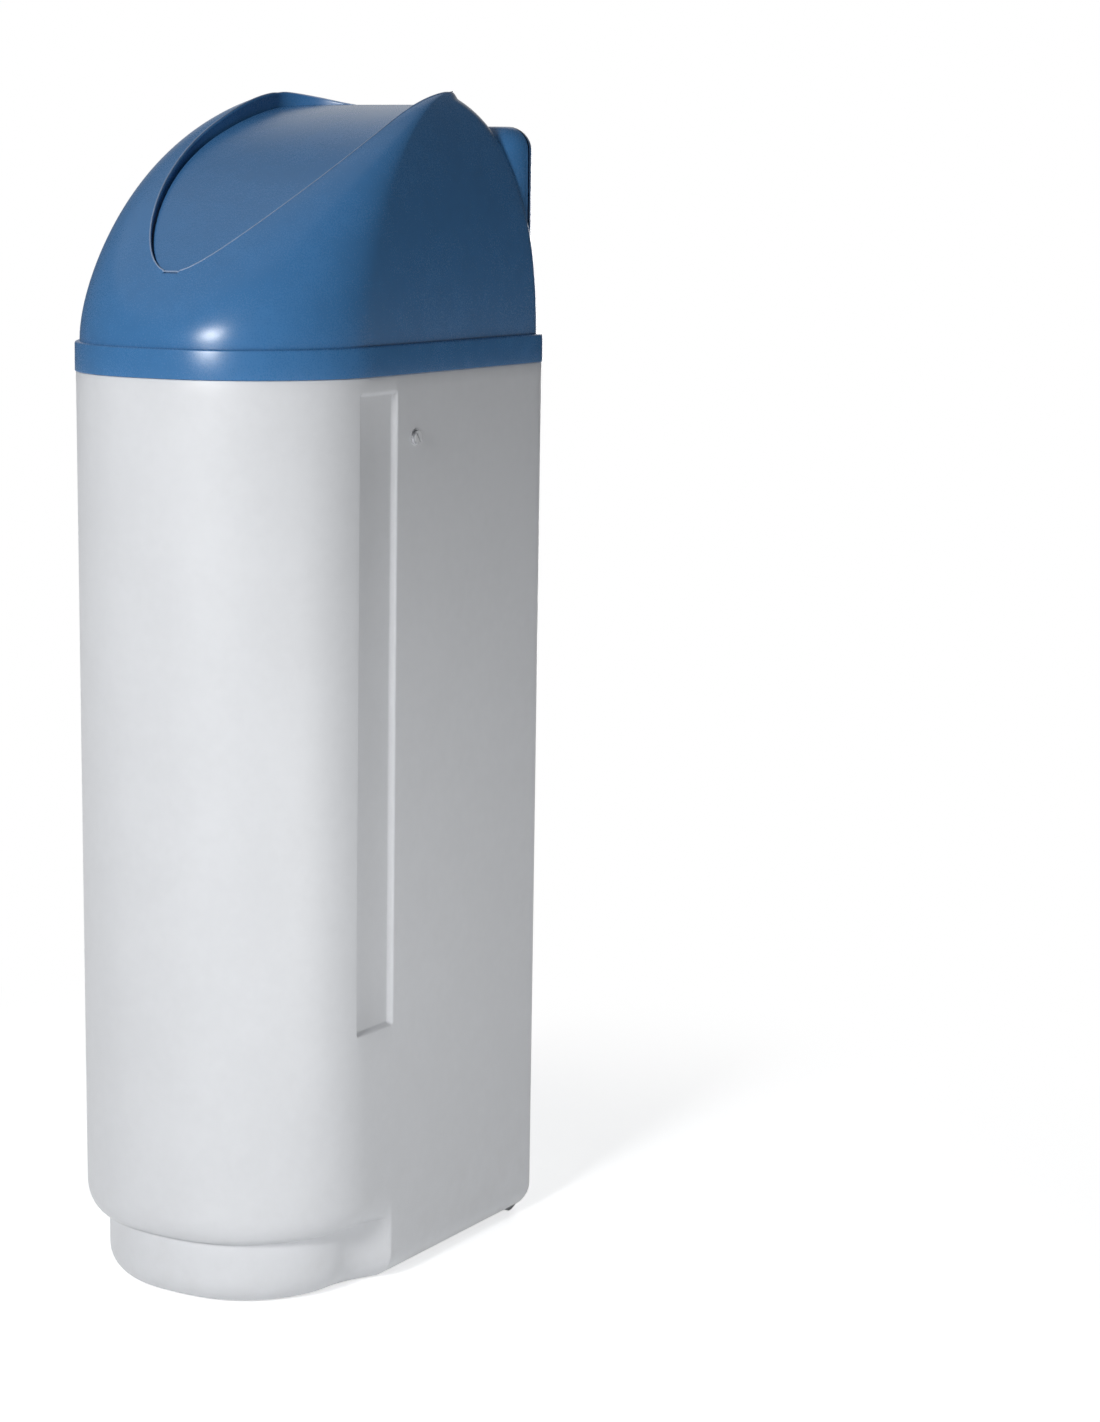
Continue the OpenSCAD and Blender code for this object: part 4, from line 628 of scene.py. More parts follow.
# The photograph's camera: rows, focal length and axis in pixels, place in metres, angles in degrees
PHOTO_ROWS, FOCAL_ROWS, AXIS_ROW = 1422.0, 3275.5, 583.0
SENSOR = 36.0
CAMERA_PLACE = (1.84342, -2.63212, 1.08253)
CAMERA_TURN, CAMERA_DIP, CAMERA_ROLL = 30.4546, 7.2767, 0.5377

# The studio: a floor in millimetres, dim light all round, a white backdrop and four lamps
WHITE = (1.0, 1.0, 1.0)
FLOOR_HALF = 9000
FLOOR_TONES = ((0.86, 0.865, 0.87), (0.88, 0.885, 0.89))
FLOOR_GLOW, FLOOR_FADE = 0.60, (0.45, 1.1)
ROOM_COLOUR, ROOM_WAY = (0.93, 0.96, 1.0), (-0.70, 0.10, 0.70)
ROOM_FROM, ROOM_LOW, ROOM_HIGH = -0.7, 0.03, 0.15
BACKDROP_WAY, BACKDROP_EDGE, BACKDROP_GLOSS = (-0.45, 0.82, 0.35), 0.88, 0.75
# Each lamp: name, place and size in metres, watts, height that it points at, beam in degrees
LAMPS = (
    ("key lamp", (0.30, -3.74, 2.00), 0.8, 99.0, 0.62, 180),
    ("side lamp", (1.35, -0.45, 0.12), 0.8, 2.8, 0.22, 100),
    ("top lamp", (-0.9, -0.3, 3.0), 3.0, 9.0, 0.62, 180),
    ("rear lamp", (-1.3, 3.0, 0.55), 1.4, 42.0, 0.62, 180),
)


class OBJECT_OT_softener_stage(bpy.types.Operator):
    """Floor, world, lamps and the camera of the photograph"""

    bl_idname = "object.softener_stage"
    bl_label = "Stage and camera"

    def make_camera(self, scene):
        """The camera, at the photograph's place and angle."""
        eye = bpy.data.cameras.new("photo camera")
        eye.sensor_fit = "VERTICAL"
        eye.sensor_height = SENSOR
        eye.lens = FOCAL_ROWS * SENSOR / PHOTO_ROWS
        eye.shift_y = (AXIS_ROW - PHOTO_ROWS / 2) / PHOTO_ROWS
        eye.clip_start = 0.05
        camera = bpy.data.objects.new("photo camera", eye)
        turn = Matrix.Rotation(math.radians(CAMERA_TURN), 4, "Z")
        dip = Matrix.Rotation(math.radians(90 - CAMERA_DIP), 4, "X")
        roll = Matrix.Rotation(math.radians(CAMERA_ROLL), 4, "Z")
        camera.matrix_world = Matrix.Translation(CAMERA_PLACE) @ turn @ dip @ roll
        scene.collection.objects.link(camera)
        scene.camera = camera

    def make_floor(self):
        """A pale floor that keeps the shadow and fades to white further out."""
        h = FLOOR_HALF
        floor = settled("floor", [(-h, -h, 0), (h, -h, 0), (h, h, 0), (-h, h, 0)], [[0, 1, 2, 3]])
        f = Finish("pale floor")
        f.set(Base_Color=f.mix(f.noise(0.4), *FLOOR_TONES), Roughness=0.9)
        camera, glossy, through = f.rays()
        seen = f.sum_of("MAXIMUM", f.sum_of("MAXIMUM", camera, glossy), through)
        near = f.add("ShaderNodeVectorMath", {"operation": "LENGTH"}, {0: f.place}, out="Value")
        plain = Wire(f, f.shader.outputs[0])
        glow = f.add("ShaderNodeEmission", inputs={"Color": WHITE, "Strength": FLOOR_GLOW})
        lifted = f.add("ShaderNodeAddShader", inputs={0: plain, 1: glow})
        white = f.add("ShaderNodeEmission", inputs={"Color": WHITE, "Strength": 1.0})
        faded = f.add("ShaderNodeMixShader", inputs={0: f.smooth(near, *FLOOR_FADE), 1: lifted, 2: white})
        shown = f.add("ShaderNodeMixShader", inputs={0: seen, 1: plain, 2: faded})
        f.feed(f.end.inputs["Surface"], shown)
        floor.data.materials.append(f.material)

    def make_world(self, scene):
        """White for camera and transmission rays, and for glossy ones behind the object; else dim light."""
        scene.world = bpy.data.worlds.new("studio")
        scene.world.use_nodes = True
        room = Nodes(scene.world.node_tree)
        way = room.add("ShaderNodeTexCoord", out="Generated")
        light = room.add("ShaderNodeMapRange", inputs={
            "Value": room.along(way, ROOM_WAY), "From Min": ROOM_FROM,
            "To Min": ROOM_LOW, "To Max": ROOM_HIGH})
        backdrop = room.add("ShaderNodeMapRange", {"interpolation_type": "SMOOTHSTEP"}, {
            "Value": room.along(way, BACKDROP_WAY), "From Min": BACKDROP_EDGE, "To Max": BACKDROP_GLOSS})
        camera, glossy, through = room.rays()
        seen = room.sum_of("MAXIMUM", camera, glossy * backdrop + through)
        fill = room.add("ShaderNodeBackground", inputs={"Color": ROOM_COLOUR, "Strength": light})
        white = room.add("ShaderNodeBackground", inputs={"Color": WHITE, "Strength": 1.0})
        shown = room.add("ShaderNodeMixShader", inputs={0: seen, 1: fill, 2: white})
        room.feed(room.tree.nodes.new("ShaderNodeOutputWorld").inputs["Surface"], shown)

    def make_lamps(self, scene):
        """Square soft lamps that point at the object's axis."""
        for name, place, size, power, aim, beam in LAMPS:
            data = bpy.data.lights.new(name, "AREA")
            data.shape = "SQUARE"
            data.size = size
            data.energy = power
            data.spread = math.radians(beam)
            lamp = bpy.data.objects.new(name, data)
            lamp.location = place
            way = Vector((0.0, 0.0, aim)) - Vector(place)
            lamp.rotation_euler = way.to_track_quat("-Z", "Y").to_euler()
            scene.collection.objects.link(lamp)

    def execute(self, context):
        scene = context.scene
        scene.view_settings.view_transform = "Standard"
        self.make_camera(scene)
        self.make_floor()
        self.make_world(scene)
        self.make_lamps(scene)
        return {"FINISHED"}


# Cords: diameters in metres, and routes listed in millimetres
TUBE_ACROSS, LEAD_ACROSS = 0.0095, 0.0035
TUBE_ROUTE = ((123, 118, 1012), (123, 118, 921), (123, 118, 879), (124, 106, 865), (126, 68, 860),
              (125, 17, 857), (125, 3, 843), (125, 3, 811), (125, 3, 779), (125, 3, 720), (125, 3, 600),
              (125, 3, 360), (125, 3, 108))
LEAD_ROUTE = ((46, 208.8, 1044), (61, 214, 1047), (85, 218, 1040), (104, 219, 1031), (110, 217, 1022),
              (102, 215, 1015), (88, 213, 1014), (78, 208, 1006), (76, 203, 988), (69, 201, 968.2))


def cord_curve(name, points, across):
    """A smooth round cord through given points in millimetres."""
    data = bpy.data.curves.new(name, "CURVE")
    data.dimensions = "3D"
    data.bevel_depth = across / 2
    data.bevel_resolution = 6
    data.use_fill_caps = True
    line = data.splines.new("POLY")
    path = []
    for i in range(len(points) - 1):
        a, b, c, d = (Vector(points[max(0, min(len(points) - 1, k))]) for k in (i - 1, i, i + 1, i + 2))
        for t in steps(0.0, 1.0, 10)[:-1]:
            path.append(0.5 * (2 * b + (c - a) * t + (2 * a - 5 * b + 4 * c - d) * t * t
                               + (3 * b - a - 3 * c + d) * t ** 3) * MM)
    path.append(Vector(points[-1]) * MM)
    line.points.add(len(path) - 1)
    for spot, p in zip(line.points, path):
        spot.co = (*p, 1.0)
    piece = bpy.data.objects.new(name, data)
    bpy.context.scene.collection.objects.link(piece)
    long = sum((b - a).length for a, b in zip(path, path[1:]))
    return piece, path[0], long


class OBJECT_OT_softener_cords(bpy.types.Operator):
    """The brine tube and the sensor cable"""

    bl_idname = "object.softener_cords"
    bl_label = "Tube and cable"

    def execute(self, context):
        tube, start, long = cord_curve("brine_hose", TUBE_ROUTE, TUBE_ACROSS)
        settle(tube, "base", "frosted", ["brine_tube"])
        cable, start, long = cord_curve("sensor_lead", LEAD_ROUTE, LEAD_ACROSS)
        settle(cable, "base", "cable_grey", ["sensor_cable"])
        return {"FINISHED"}


# The hood's own forms, in millimetres
AHEAD, CLEAR = -600, 60
RIM_ARC, RIM_SLOPE = math.radians(75), math.tan(math.radians(15))
HUMP_HALF, HUMP_DROP, HUMP_BACK = 143, 35, 44
HUMP_ROUND, HUMP_FRONT_ROUND = 24, 40
RECESS_DEPTH = 9.0
WINDOW_LEDGE, WINDOW_DEPTH, TAIL_DEPTH = 12, 150, 40
BEAD_ROUND, BEAD_SIDES = 0.8, 8
PIPE_HALF, PIPE_RISE, PIPE_ROUND = 92, 122, 30


class OBJECT_OT_softener_hood(bpy.types.Operator):
    """The blue hood: a dome with a square rear hump and the visor's recess"""

    bl_idname = "object.softener_hood"
    bl_label = "Hood"

    def hump(self, g, name, inset):
        """The square hump behind the crest, rounded along its edges."""
        x, r, y1 = HUMP_HALF - inset, HUMP_ROUND - inset, g.rear + g.proud - inset
        z0, z1, y0 = g.dome - 10, g.top - HUMP_DROP - inset, g.crest + HUMP_BACK + inset
        front = HUMP_FRONT_ROUND - inset
        rings = []
        for lean in [None] + steps(0, math.pi / 2, 8):
            z = z0 if lean is None else z1 - r + r * math.sin(lean)
            back = 0.0 if lean is None else r * (1 - math.cos(lean))
            outline = []
            for side, rear, turn in ((1, False, -90), (1, True, 0), (-1, True, 90), (-1, False, 180)):
                k = (r if rear else front) - back
                centre = (side * (x - back - k), y1 - back - k if rear else y0 + back + k)
                k = max(k, 0.02)
                outline += [(centre[0] + k * math.cos(math.radians(turn + b)),
                             centre[1] + k * math.sin(math.radians(turn + b)), z) for b in steps(0, 90, 10)]
            rings.append(outline)
        return loft(name, rings)

    def band(self, g, name, grow, below, start, end, rim=None):
        """A band under the visor's outline, open upwards; with a rim it flares out over the hood's edge."""
        rows = []
        for p in g.stations(start, end, 130):
            w = max(0.4, g.visor_at(p[0]) + grow)
            y = p[0] - (max(0.0, grow) if p == g.tip else 0.0)
            low, high = p[1] - below, g.top + CLEAR
            if rim is None:
                rows.append([(-w, y, low), (w, y, low), (w, y, high), (-w, y, high)])
                continue
            r = g.rim_round
            edge = max(low + r + 0.5, rim(w + r * 0.6, y))
            side = [(w + r - r * math.cos(a), edge - r + r * math.sin(a))
                    for a in steps(0, RIM_ARC, 6)]
            side.append((side[-1][0] + CLEAR, side[-1][1] + CLEAR * RIM_SLOPE))
            rows.append([(-w, y, low), (w, y, low)] + [(x, y, z) for x, z in side]
                        + [(side[-1][0], y, high + 40), (-side[-1][0], y, high + 40)]
                        + [(-x, y, z) for x, z in side[::-1]])
        return loft(name, rows)

    def bead(self, g, rim):
        """A paler bead round the edge of the visor's recess: a painted highlight along its rim."""
        r, sides = BEAD_ROUND, BEAD_SIDES
        line = []
        for y, _ in g.stations(AHEAD, g.recess_end, 110):
            x = g.visor_at(y) + g.visor_gap + g.rim_round * 0.74
            line.append(Vector((x, y, rim(x, y) - 0.15)))
        line += [Vector((-p.x, p.y, p.z)) for p in line[::-1]]
        points = []
        for i, p in enumerate(line):
            way = (line[(i + 1) % len(line)] - line[i - 1]).normalized()
            out = way.cross(Vector((0, 0, 1))).normalized()
            up = out.cross(way)
            points += [p + (out * math.cos(a) + up * math.sin(a)) * r for a in steps(0, math.tau, sides)[:-1]]
        count = len(line)
        faces = [[j * sides + i, j * sides + (i + 1) % sides, (j + 1) % count * sides + (i + 1) % sides,
                  (j + 1) % count * sides + i] for j in range(count) for i in range(sides)]
        return settled("rim_bead", points, faces)

    def execute(self, context):
        g = Shape()
        foot = plan_outline(g.half_w, g.front, g.rear, g.corner, g.rear_corner, g.bow)
        levels = [1 - (1 - t) ** 1.7 for t in steps(0.0, 1.0, 56)]
        levels[-1] = 0.9996
        skirt = [ring(foot, g.shoulder, -g.proud), ring(foot, g.dome - 2.4, -g.proud),
                 ring(foot, g.dome - 1.2, 0.35 - g.proud), ring(foot, g.dome - 0.5, 1.2 - g.proud)]
        outer = loft("hood_shell", skirt + [g.dome_ring(u, 0, 0) for u in levels])
        carve(outer, self.hump(g, "hump", 0), "UNION")
        solid = copy_of(outer)
        look = BVHTree.FromObject(solid, context.evaluated_depsgraph_get())

        def rim(x, y):
            hit = look.ray_cast(Vector((x, y, 2000)) * MM, Vector((0, 0, -1)))[0]
            return hit.z / MM if hit else g.dome

        w = g.hood_wall
        inner = loft("hollow", [ring(foot, g.shoulder - 1, 4), ring(foot, g.dome - 3, 4)]
                     + [g.dome_ring(u, w, w) for u in steps(0, 0.80, 10) + [0.86, 0.91, 0.94]])
        carve(outer, inner)
        carve(outer, self.hump(g, "hump_hollow", w))
        tray = self.band(g, "tray", g.visor_gap + w, RECESS_DEPTH + w, AHEAD, g.recess_end)
        carve(tray, solid, "INTERSECT")
        carve(outer, tray, "UNION")
        ledge_y = g.hinge_y - 9
        visor_room = g.visor_end + g.visor_gap
        carve(outer, self.band(g, "bed", g.visor_gap, RECESS_DEPTH, AHEAD, visor_room, rim))
        carve(outer, self.band(g, "behind", g.visor_gap, 0, g.visor_end, g.recess_end, rim))
        carve(outer, self.band(g, "window", -WINDOW_LEDGE, WINDOW_DEPTH, g.tip[0] + WINDOW_LEDGE, ledge_y))
        carve(outer, self.band(g, "tail_room", g.visor_gap, TAIL_DEPTH, ledge_y, visor_room))
        gap = []
        flat, top = PIPE_HALF - PIPE_ROUND, g.shoulder + PIPE_RISE - PIPE_ROUND
        for y in (g.rear - 60, g.rear + 20):
            arch = [(flat + PIPE_ROUND * math.sin(a), top + PIPE_ROUND * math.cos(a))
                    for a in steps(0, math.pi / 2, 12)]
            gap.append([(x, y, z) for x, z in arch]
                       + [(PIPE_HALF, y, g.shoulder - 1), (-PIPE_HALF, y, g.shoulder - 1)]
                       + [(-x, y, z) for x, z in arch[::-1]])
        carve(outer, loft("pipe_gap", gap))
        settle(outer, "hood", "hood_blue", ["hood"], 32.0)
        edge = settle(self.bead(g, rim), "hood", "hood_blue")
        # The bead's paler blue is a painted highlight along the rim of the recess.
        edge.data.materials[0] = FINISHES["highlight_edge"]
        return {"FINISHED"}


class OBJECT_OT_softener_visor(bpy.types.Operator):
    """The rocking visor, with rounded edges and the barrels of its hinge"""

    bl_idname = "object.softener_visor"
    bl_label = "Visor"

    def execute(self, context):
        g = Shape()
        rows = []
        r, thick, barrel_r = 1.2, 3.0, 3.8
        for p in g.stations(AHEAD, g.visor_end, 150):
            w = max(1.5, g.visor_at(p[0]) - 1.2)
            side = [(w - r + r * math.cos(a), p[1] - r + r * math.sin(a)) for a in steps(0, math.pi / 2, 5)]
            across = [(x, p[1]) for x in steps(w - r, r - w, 16)[1:-1]]
            top = side + across + [(-x, z) for x, z in side[::-1]]
            rows.append([(-w, p[0], p[1] - thick), (w, p[0], p[1] - thick)] + [(x, p[0], z) for x, z in top])
        band = loft("visor_band", rows)
        hinge_z = reach(g.visor_curve, 0, g.hinge_y)[1] - 3.9
        for s in (-1, 1):
            barrel = []
            for x in (g.visor_half - 20, g.visor_half - 0.3):
                barrel.append([(s * x, g.hinge_y + barrel_r * math.cos(a), hinge_z + barrel_r * math.sin(a))
                               for a in steps(0, 2 * math.pi, 32)[:-1]])
            carve(band, loft("barrel", barrel), "UNION")
        settle(band, "visor", "hood_blue", ["visor"], 32.0)
        return {"FINISHED"}


# Places on the deck, in millimetres
DECK_SKIRT, DECK_RISE, PAD_RISE = 75, 16, 7
LID_AT, TANK_AT, TUBE_AT = (0, -84), (0, 115), (123, 118)
DECK_HOLES = ((*LID_AT, 126), (*TANK_AT, 52.5), (*TUBE_AT, 6.75))
HOLE_LOW, HOLE_HIGH = 800, 1200
CORNER_CUT = ((109, 68), (400, 68), (400, 130), (109, 130))
LID_PLUG, KNOB_AT = 124.0, (94, -64)


class OBJECT_OT_softener_cabinet(bpy.types.Operator):
    """The white cabinet with its side recesses and set-back foot"""

    bl_idname = "object.softener_cabinet"
    bl_label = "Cabinet"

    def execute(self, context):
        g = Shape()
        rear_edge, recess_l, flare_l, blend = -46.0, 62.0, 56.0, 29.0
        z0, z1, bottom = 256.0, g.shoulder - 14, 28.0
        front_edge, flare_front = rear_edge - recess_l, rear_edge - flare_l
        near = steps(front_edge - 2, front_edge + g.recess + 2, 9)
        near += steps(rear_edge - g.recess - 2, rear_edge + 2, 9)
        outline = plan_outline(g.half_w, g.front, g.rear, g.corner, g.rear_corner, g.bow, near, 48)

        def share(value, low, high):
            return soft(min((value - low) / g.recess, (high - value) / g.recess))

        def row(z, zs, edge, extra):
            points = []
            u = (g.foot + blend - zs) / blend
            set_back = 1.0 if u >= 1 else 0.0 if u <= 0 else 1 - math.sqrt(1 - u * u)
            for p, n in outline:
                t = (p[1] - flare_front) / flare_l
                flare = 1.0 if t <= 0 else 0.0 if t >= 1 else math.cos(math.pi / 2 * t)
                groove = share(zs, z0, z1) * share(p[1], front_edge, rear_edge) if abs(n[0]) > 0.7 else 0
                inset = g.draft * (1 - zs / g.shoulder) + edge + extra
                inset += g.recess * groove + g.foot_step * set_back * flare
                points.append((p[0] - n[0] * inset, p[1] - n[1] * inset, z))
            return points

        def rounded(r, a, extra):
            return row(extra + r * (1 - math.cos(a)), r * (1 - math.cos(a)), r * (1 - math.sin(a)), extra)

        def wall(levels, inner=0.0):
            return [row(z, z, 0, inner) for z in levels]

        blends = [g.foot + blend * (1 - math.cos(a)) for a in steps(0, math.pi / 2, 14)]
        rows = [rounded(bottom, a, 0) for a in steps(0, math.pi / 2, 8)]
        rows += wall(blends) + wall((130, 180, 230))
        rows += wall(steps(z0, z0 + g.recess, 7)) + wall(steps(z0 + 60, z1 - 60, 8))
        rows += wall(steps(z1 - g.recess, z1, 7)) + wall([g.shoulder - 1.5])
        rows += [row(g.shoulder - 0.4, g.shoulder, 0.4, 0), row(g.shoulder, g.shoulder, 1.5, 0)]
        ledge_z, ledge = g.shoulder - DECK_SKIRT, g.wall + g.recess + 6.6
        rows += wall((g.shoulder, z1, z1 - g.recess, ledge_z), g.wall)
        rows += [ring(outline, ledge_z, ledge), ring(outline, ledge_z - 10, ledge)]
        rows += wall((ledge_z - 26, z0 + g.recess, z0, blends[-1], blends[7], blends[0]), g.wall)
        rows += [rounded(bottom - g.wall, a, g.wall) for a in (math.pi / 2, math.pi / 4, 0)]
        body = loft("cabinet_shell", rows)
        settle(body, "base", "body_white", ["cabinet"], 40.0)
        return {"FINISHED"}


class OBJECT_OT_softener_deck(bpy.types.Operator):
    """The white deck with its raised rear part, and the black salt lid"""

    bl_idname = "object.softener_deck"
    bl_label = "Deck and salt lid"

    def execute(self, context):
        g = Shape()
        outline = plan_outline(g.half_w, g.front, g.rear, g.corner, g.rear_corner, g.bow)
        top, edge, inset = g.shoulder + DECK_RISE, 8.0, 5.0
        pad_z, pad_front = top + PAD_RISE, 78.0
        skirt = g.wall + g.recess + 0.6
        foot = g.shoulder - DECK_SKIRT
        rows = [ring(outline, top - 4, skirt + 4), ring(outline, foot, skirt + 4), ring(outline, foot, skirt),
                ring(outline, g.shoulder, skirt), ring(outline, g.shoulder, inset)]
        rows += [ring(outline, top - edge + edge * math.sin(a), inset + edge - edge * math.cos(a))
                 for a in steps(0, math.pi / 2, 8)]
        deck = loft("deck_moulding", rows)

        def pad_row(z, draw):
            rim = [p for p in ring(outline, z, inset + 1 + draw) if p[1] > pad_front + 12]
            wide = g.half_w - inset - 1 - draw
            corner = 6.0
            ahead = pad_front + draw
            turn = [(wide - corner + corner * math.sin(a), ahead + corner - corner * math.cos(a), z)
                    for a in steps(0, math.pi / 2, 6)]
            return [(-x, y, z) for x, y, z in turn[::-1]] + turn + rim

        pad_edge = 5.0
        pad = [pad_row(top - 3, 0), pad_row(pad_z - pad_edge, 0)]
        pad += [pad_row(pad_z - pad_edge + pad_edge * math.sin(a), pad_edge - pad_edge * math.cos(a))
                for a in steps(0, math.pi / 2, 6)]
        carve(deck, loft("pad", pad), "UNION")
        for x, y, r in DECK_HOLES:
            hole = [(0, HOLE_LOW), (r, HOLE_LOW), (r, HOLE_HIGH), (0, HOLE_HIGH)]
            carve(deck, turned("hole", hole, (x, y), 96))
        carve(deck, loft("corner_cut", [[(*p, z) for p in CORNER_CUT] for z in (top, top + 100)]))
        settle(deck, "base", "body_white", ["top_deck"], 40.0)

        r_in, r = LID_PLUG, context.scene.softener_sizes.lid / MM
        profile = [(0, -1), (r_in - 8, -1), (r_in - 3, -9), (r_in, -9), (r_in, 0), (r, 0)]
        profile += [(r - 2 + 2 * math.cos(a), 4 + 2 * math.sin(a)) for a in steps(0, math.pi / 2, 5)]
        profile += [(r - 8 - 1.2 * math.sin(a), 4.8 + 1.2 * math.cos(a))
                    for a in steps(0, math.radians(60), 4)]
        profile += [(r_in - 6, 2.9), (r_in - 10, 2.5), (r_in - 40, 2.2), (0, 2.0)]
        lid = turned("salt_cover", [(x, z + top) for x, z in profile], LID_AT, 160)
        knob = [(0, 1), (5, 1), (5, 3), (4.6, 3.7), (3.6, 4), (0, 4)]
        carve(lid, turned("knob", [(x, z + top) for x, z in knob], KNOB_AT, 40), "UNION")
        settle(lid, "salt_lid", "lid_black", ["salt_lid"], 35.0)
        return {"FINISHED"}


# The valve cover, in millimetres; the crown is a share of its length
COVER_FRONT, COVER_REAR, COVER_HALF = -2.0, 207.0, 63
COVER_FACE, COVER_RISE, COVER_FALL, COVER_CROWN = 46, 17, 49, 0.72
COVER_WALL = 2.5


class OBJECT_OT_softener_cover(bpy.types.Operator):
    """The charcoal cover over the camshaft"""

    bl_idname = "object.softener_cover"
    bl_label = "Valve cover"

    def section(self, y, y0, y1, base, inset, drop):
        """One cross-section of the cover with rounded shoulders."""
        t = max(0.0, (y - y0) / (y1 - y0))
        rise = COVER_RISE * math.sin(math.pi / 2 * min(1, t / COVER_CROWN))
        fall = COVER_FALL * max(0.0, (t - COVER_CROWN) / (1 - COVER_CROWN)) ** 2.2
        top = base + COVER_FACE + rise - fall - drop
        x = COVER_HALF - inset - 3 * t ** 4
        low = base + 9 * t - (5 if drop else 0)
        mid = max(low + 1, top - 10)
        top = max(mid + 1.5, top)
        side = [(x, low), (x - 1, low + (mid - low) * 0.5), (x - 2, mid)]
        side += [(x - 2 - 14 * (1 - math.cos(a)), mid + (top - mid) * math.sin(a))
                 for a in steps(0.12, math.pi / 2, 8)]
        side += [((x - 16) * k, top) for k in (0.66, 0.33)]
        return [(a, y, z) for a, z in side] + [(-a, y, z) for a, z in side[::-1]]

    def execute(self, context):
        y0, y1, base = COVER_FRONT, COVER_REAR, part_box("valve_cover")[0].z / MM
        ys = [1 - (1 - t) ** 1.8 for t in steps(0.0, 1.0, 44)]
        cover = loft("cover_shell", [self.section(y0 + (y1 - y0) * u, y0, y1, base, 0, 0) for u in ys])
        w = COVER_WALL
        room = [self.section(y0 + w + (y1 - y0 - 4 * w) * u, y0, y1, base, w, w) for u in ys]
        carve(cover, loft("hollow", room))
        settle(cover, "base", "charcoal", ["valve_cover"], 40.0)
        return {"FINISHED"}


# The controller's face, in millimetres; each key: name, place across, half width, half height
FACE_AT, FACE_LEAN = (0, -45, 1029), math.radians(-21)
KEYS = (("down", -34, 6, 4), ("set", -16, 8.6, 4.8), ("up", 3, 6, 4), ("start", 29, 7.2, 7.2))
KEY_ROW = -28
FACE_FILM, INK, INK_ON_KEYS = 5.0, 0.05, -2.44
# The opening round the panel: two bows, each a radius and the height of its centre, and a round eye
PANEL_HALF, LOW_BOW, HIGH_BOW = 50.2, (125.2, 113), (217.2, -210)
EYE_AT, EYE_ROUND = 29, 10.7
OLD_SLOT = ((-42.5, -8), (38.5, -8), (38.5, 8), (-42.5, 8))


def on_face(x, y, z):
    """A point of the controller's tilted face, in millimetres."""
    return Matrix.Translation(FACE_AT) @ Matrix.Rotation(FACE_LEAN, 4, "X") @ Vector((x, y, z))


class OBJECT_OT_softener_frame(bpy.types.Operator):
    """The controller's frame, closed round the button panel"""

    bl_idname = "object.softener_frame"
    bl_label = "Controller frame"

    def plug(self, name, outline, y0, y1):
        """A solid under an outline on the face."""
        return loft(name, [[on_face(x, y, z + KEY_ROW) for x, z in outline] for y in (y0, y1)])

    def execute(self, context):
        mould = NODES["bezel"].data
        faces = [list(f.vertices) for f in mould.polygons]
        surround = settled("bezel_frame", [v.co / MM for v in mould.vertices], faces)
        carve(surround, self.plug("fill", OLD_SLOT, 0.02, 1.9), "UNION")
        along = steps(-PANEL_HALF, PANEL_HALF, 56)
        boat = [(x, LOW_BOW[1] - math.sqrt(LOW_BOW[0] ** 2 - x * x)) for x in along]
        boat += [(x, HIGH_BOW[1] + math.sqrt(HIGH_BOW[0] ** 2 - x * x)) for x in along[::-1]]
        carve(surround, self.plug("boat", boat, -4, 2))
        eye = [(EYE_AT + EYE_ROUND * math.cos(a), EYE_ROUND * math.sin(a))
               for a in steps(0, math.tau, 48)[:-1]]
        carve(surround, self.plug("eye", eye, -4, 2))
        settle(surround, "base", "black", ["bezel"], 30.0)
        return {"FINISHED"}


class OBJECT_OT_softener_buttons(bpy.types.Operator):
    """Push buttons with domed tops"""

    bl_idname = "object.softener_buttons"
    bl_label = "Buttons"

    def execute(self, context):
        for name, x, rx, rz in KEYS:
            rows = []
            levels = [(2.6, 0.0), (-1.2, 0.0), (-1.75, 0.25), (-2.1, 0.7), (-2.3, 1.4), (-2.4, 2.4)]
            for y, draw in levels:
                d = rx - rz
                r = rz - draw
                right = [(d + r * math.sin(a), y, r * math.cos(a)) for a in steps(0, math.pi, 20)]
                rows.append(right + [(-a, y, -c) for a, _, c in right])
            cap = loft("key_" + name, [[on_face(x + p[0], p[1], p[2] + KEY_ROW) for p in r] for r in rows])
            flange = min(6.5, rx + 1)
            corners = ((-flange, -6), (flange, -6), (flange, 6), (-flange, 6))
            plate = loft("flange", [[on_face(x + a, y, b + KEY_ROW) for a, b in corners] for y in (2.2, 3.2)])
            carve(cap, plate, "UNION")
            settle(cap, "button_" + name, "trim_white", ["button_" + name], 40.0)
        return {"FINISHED"}


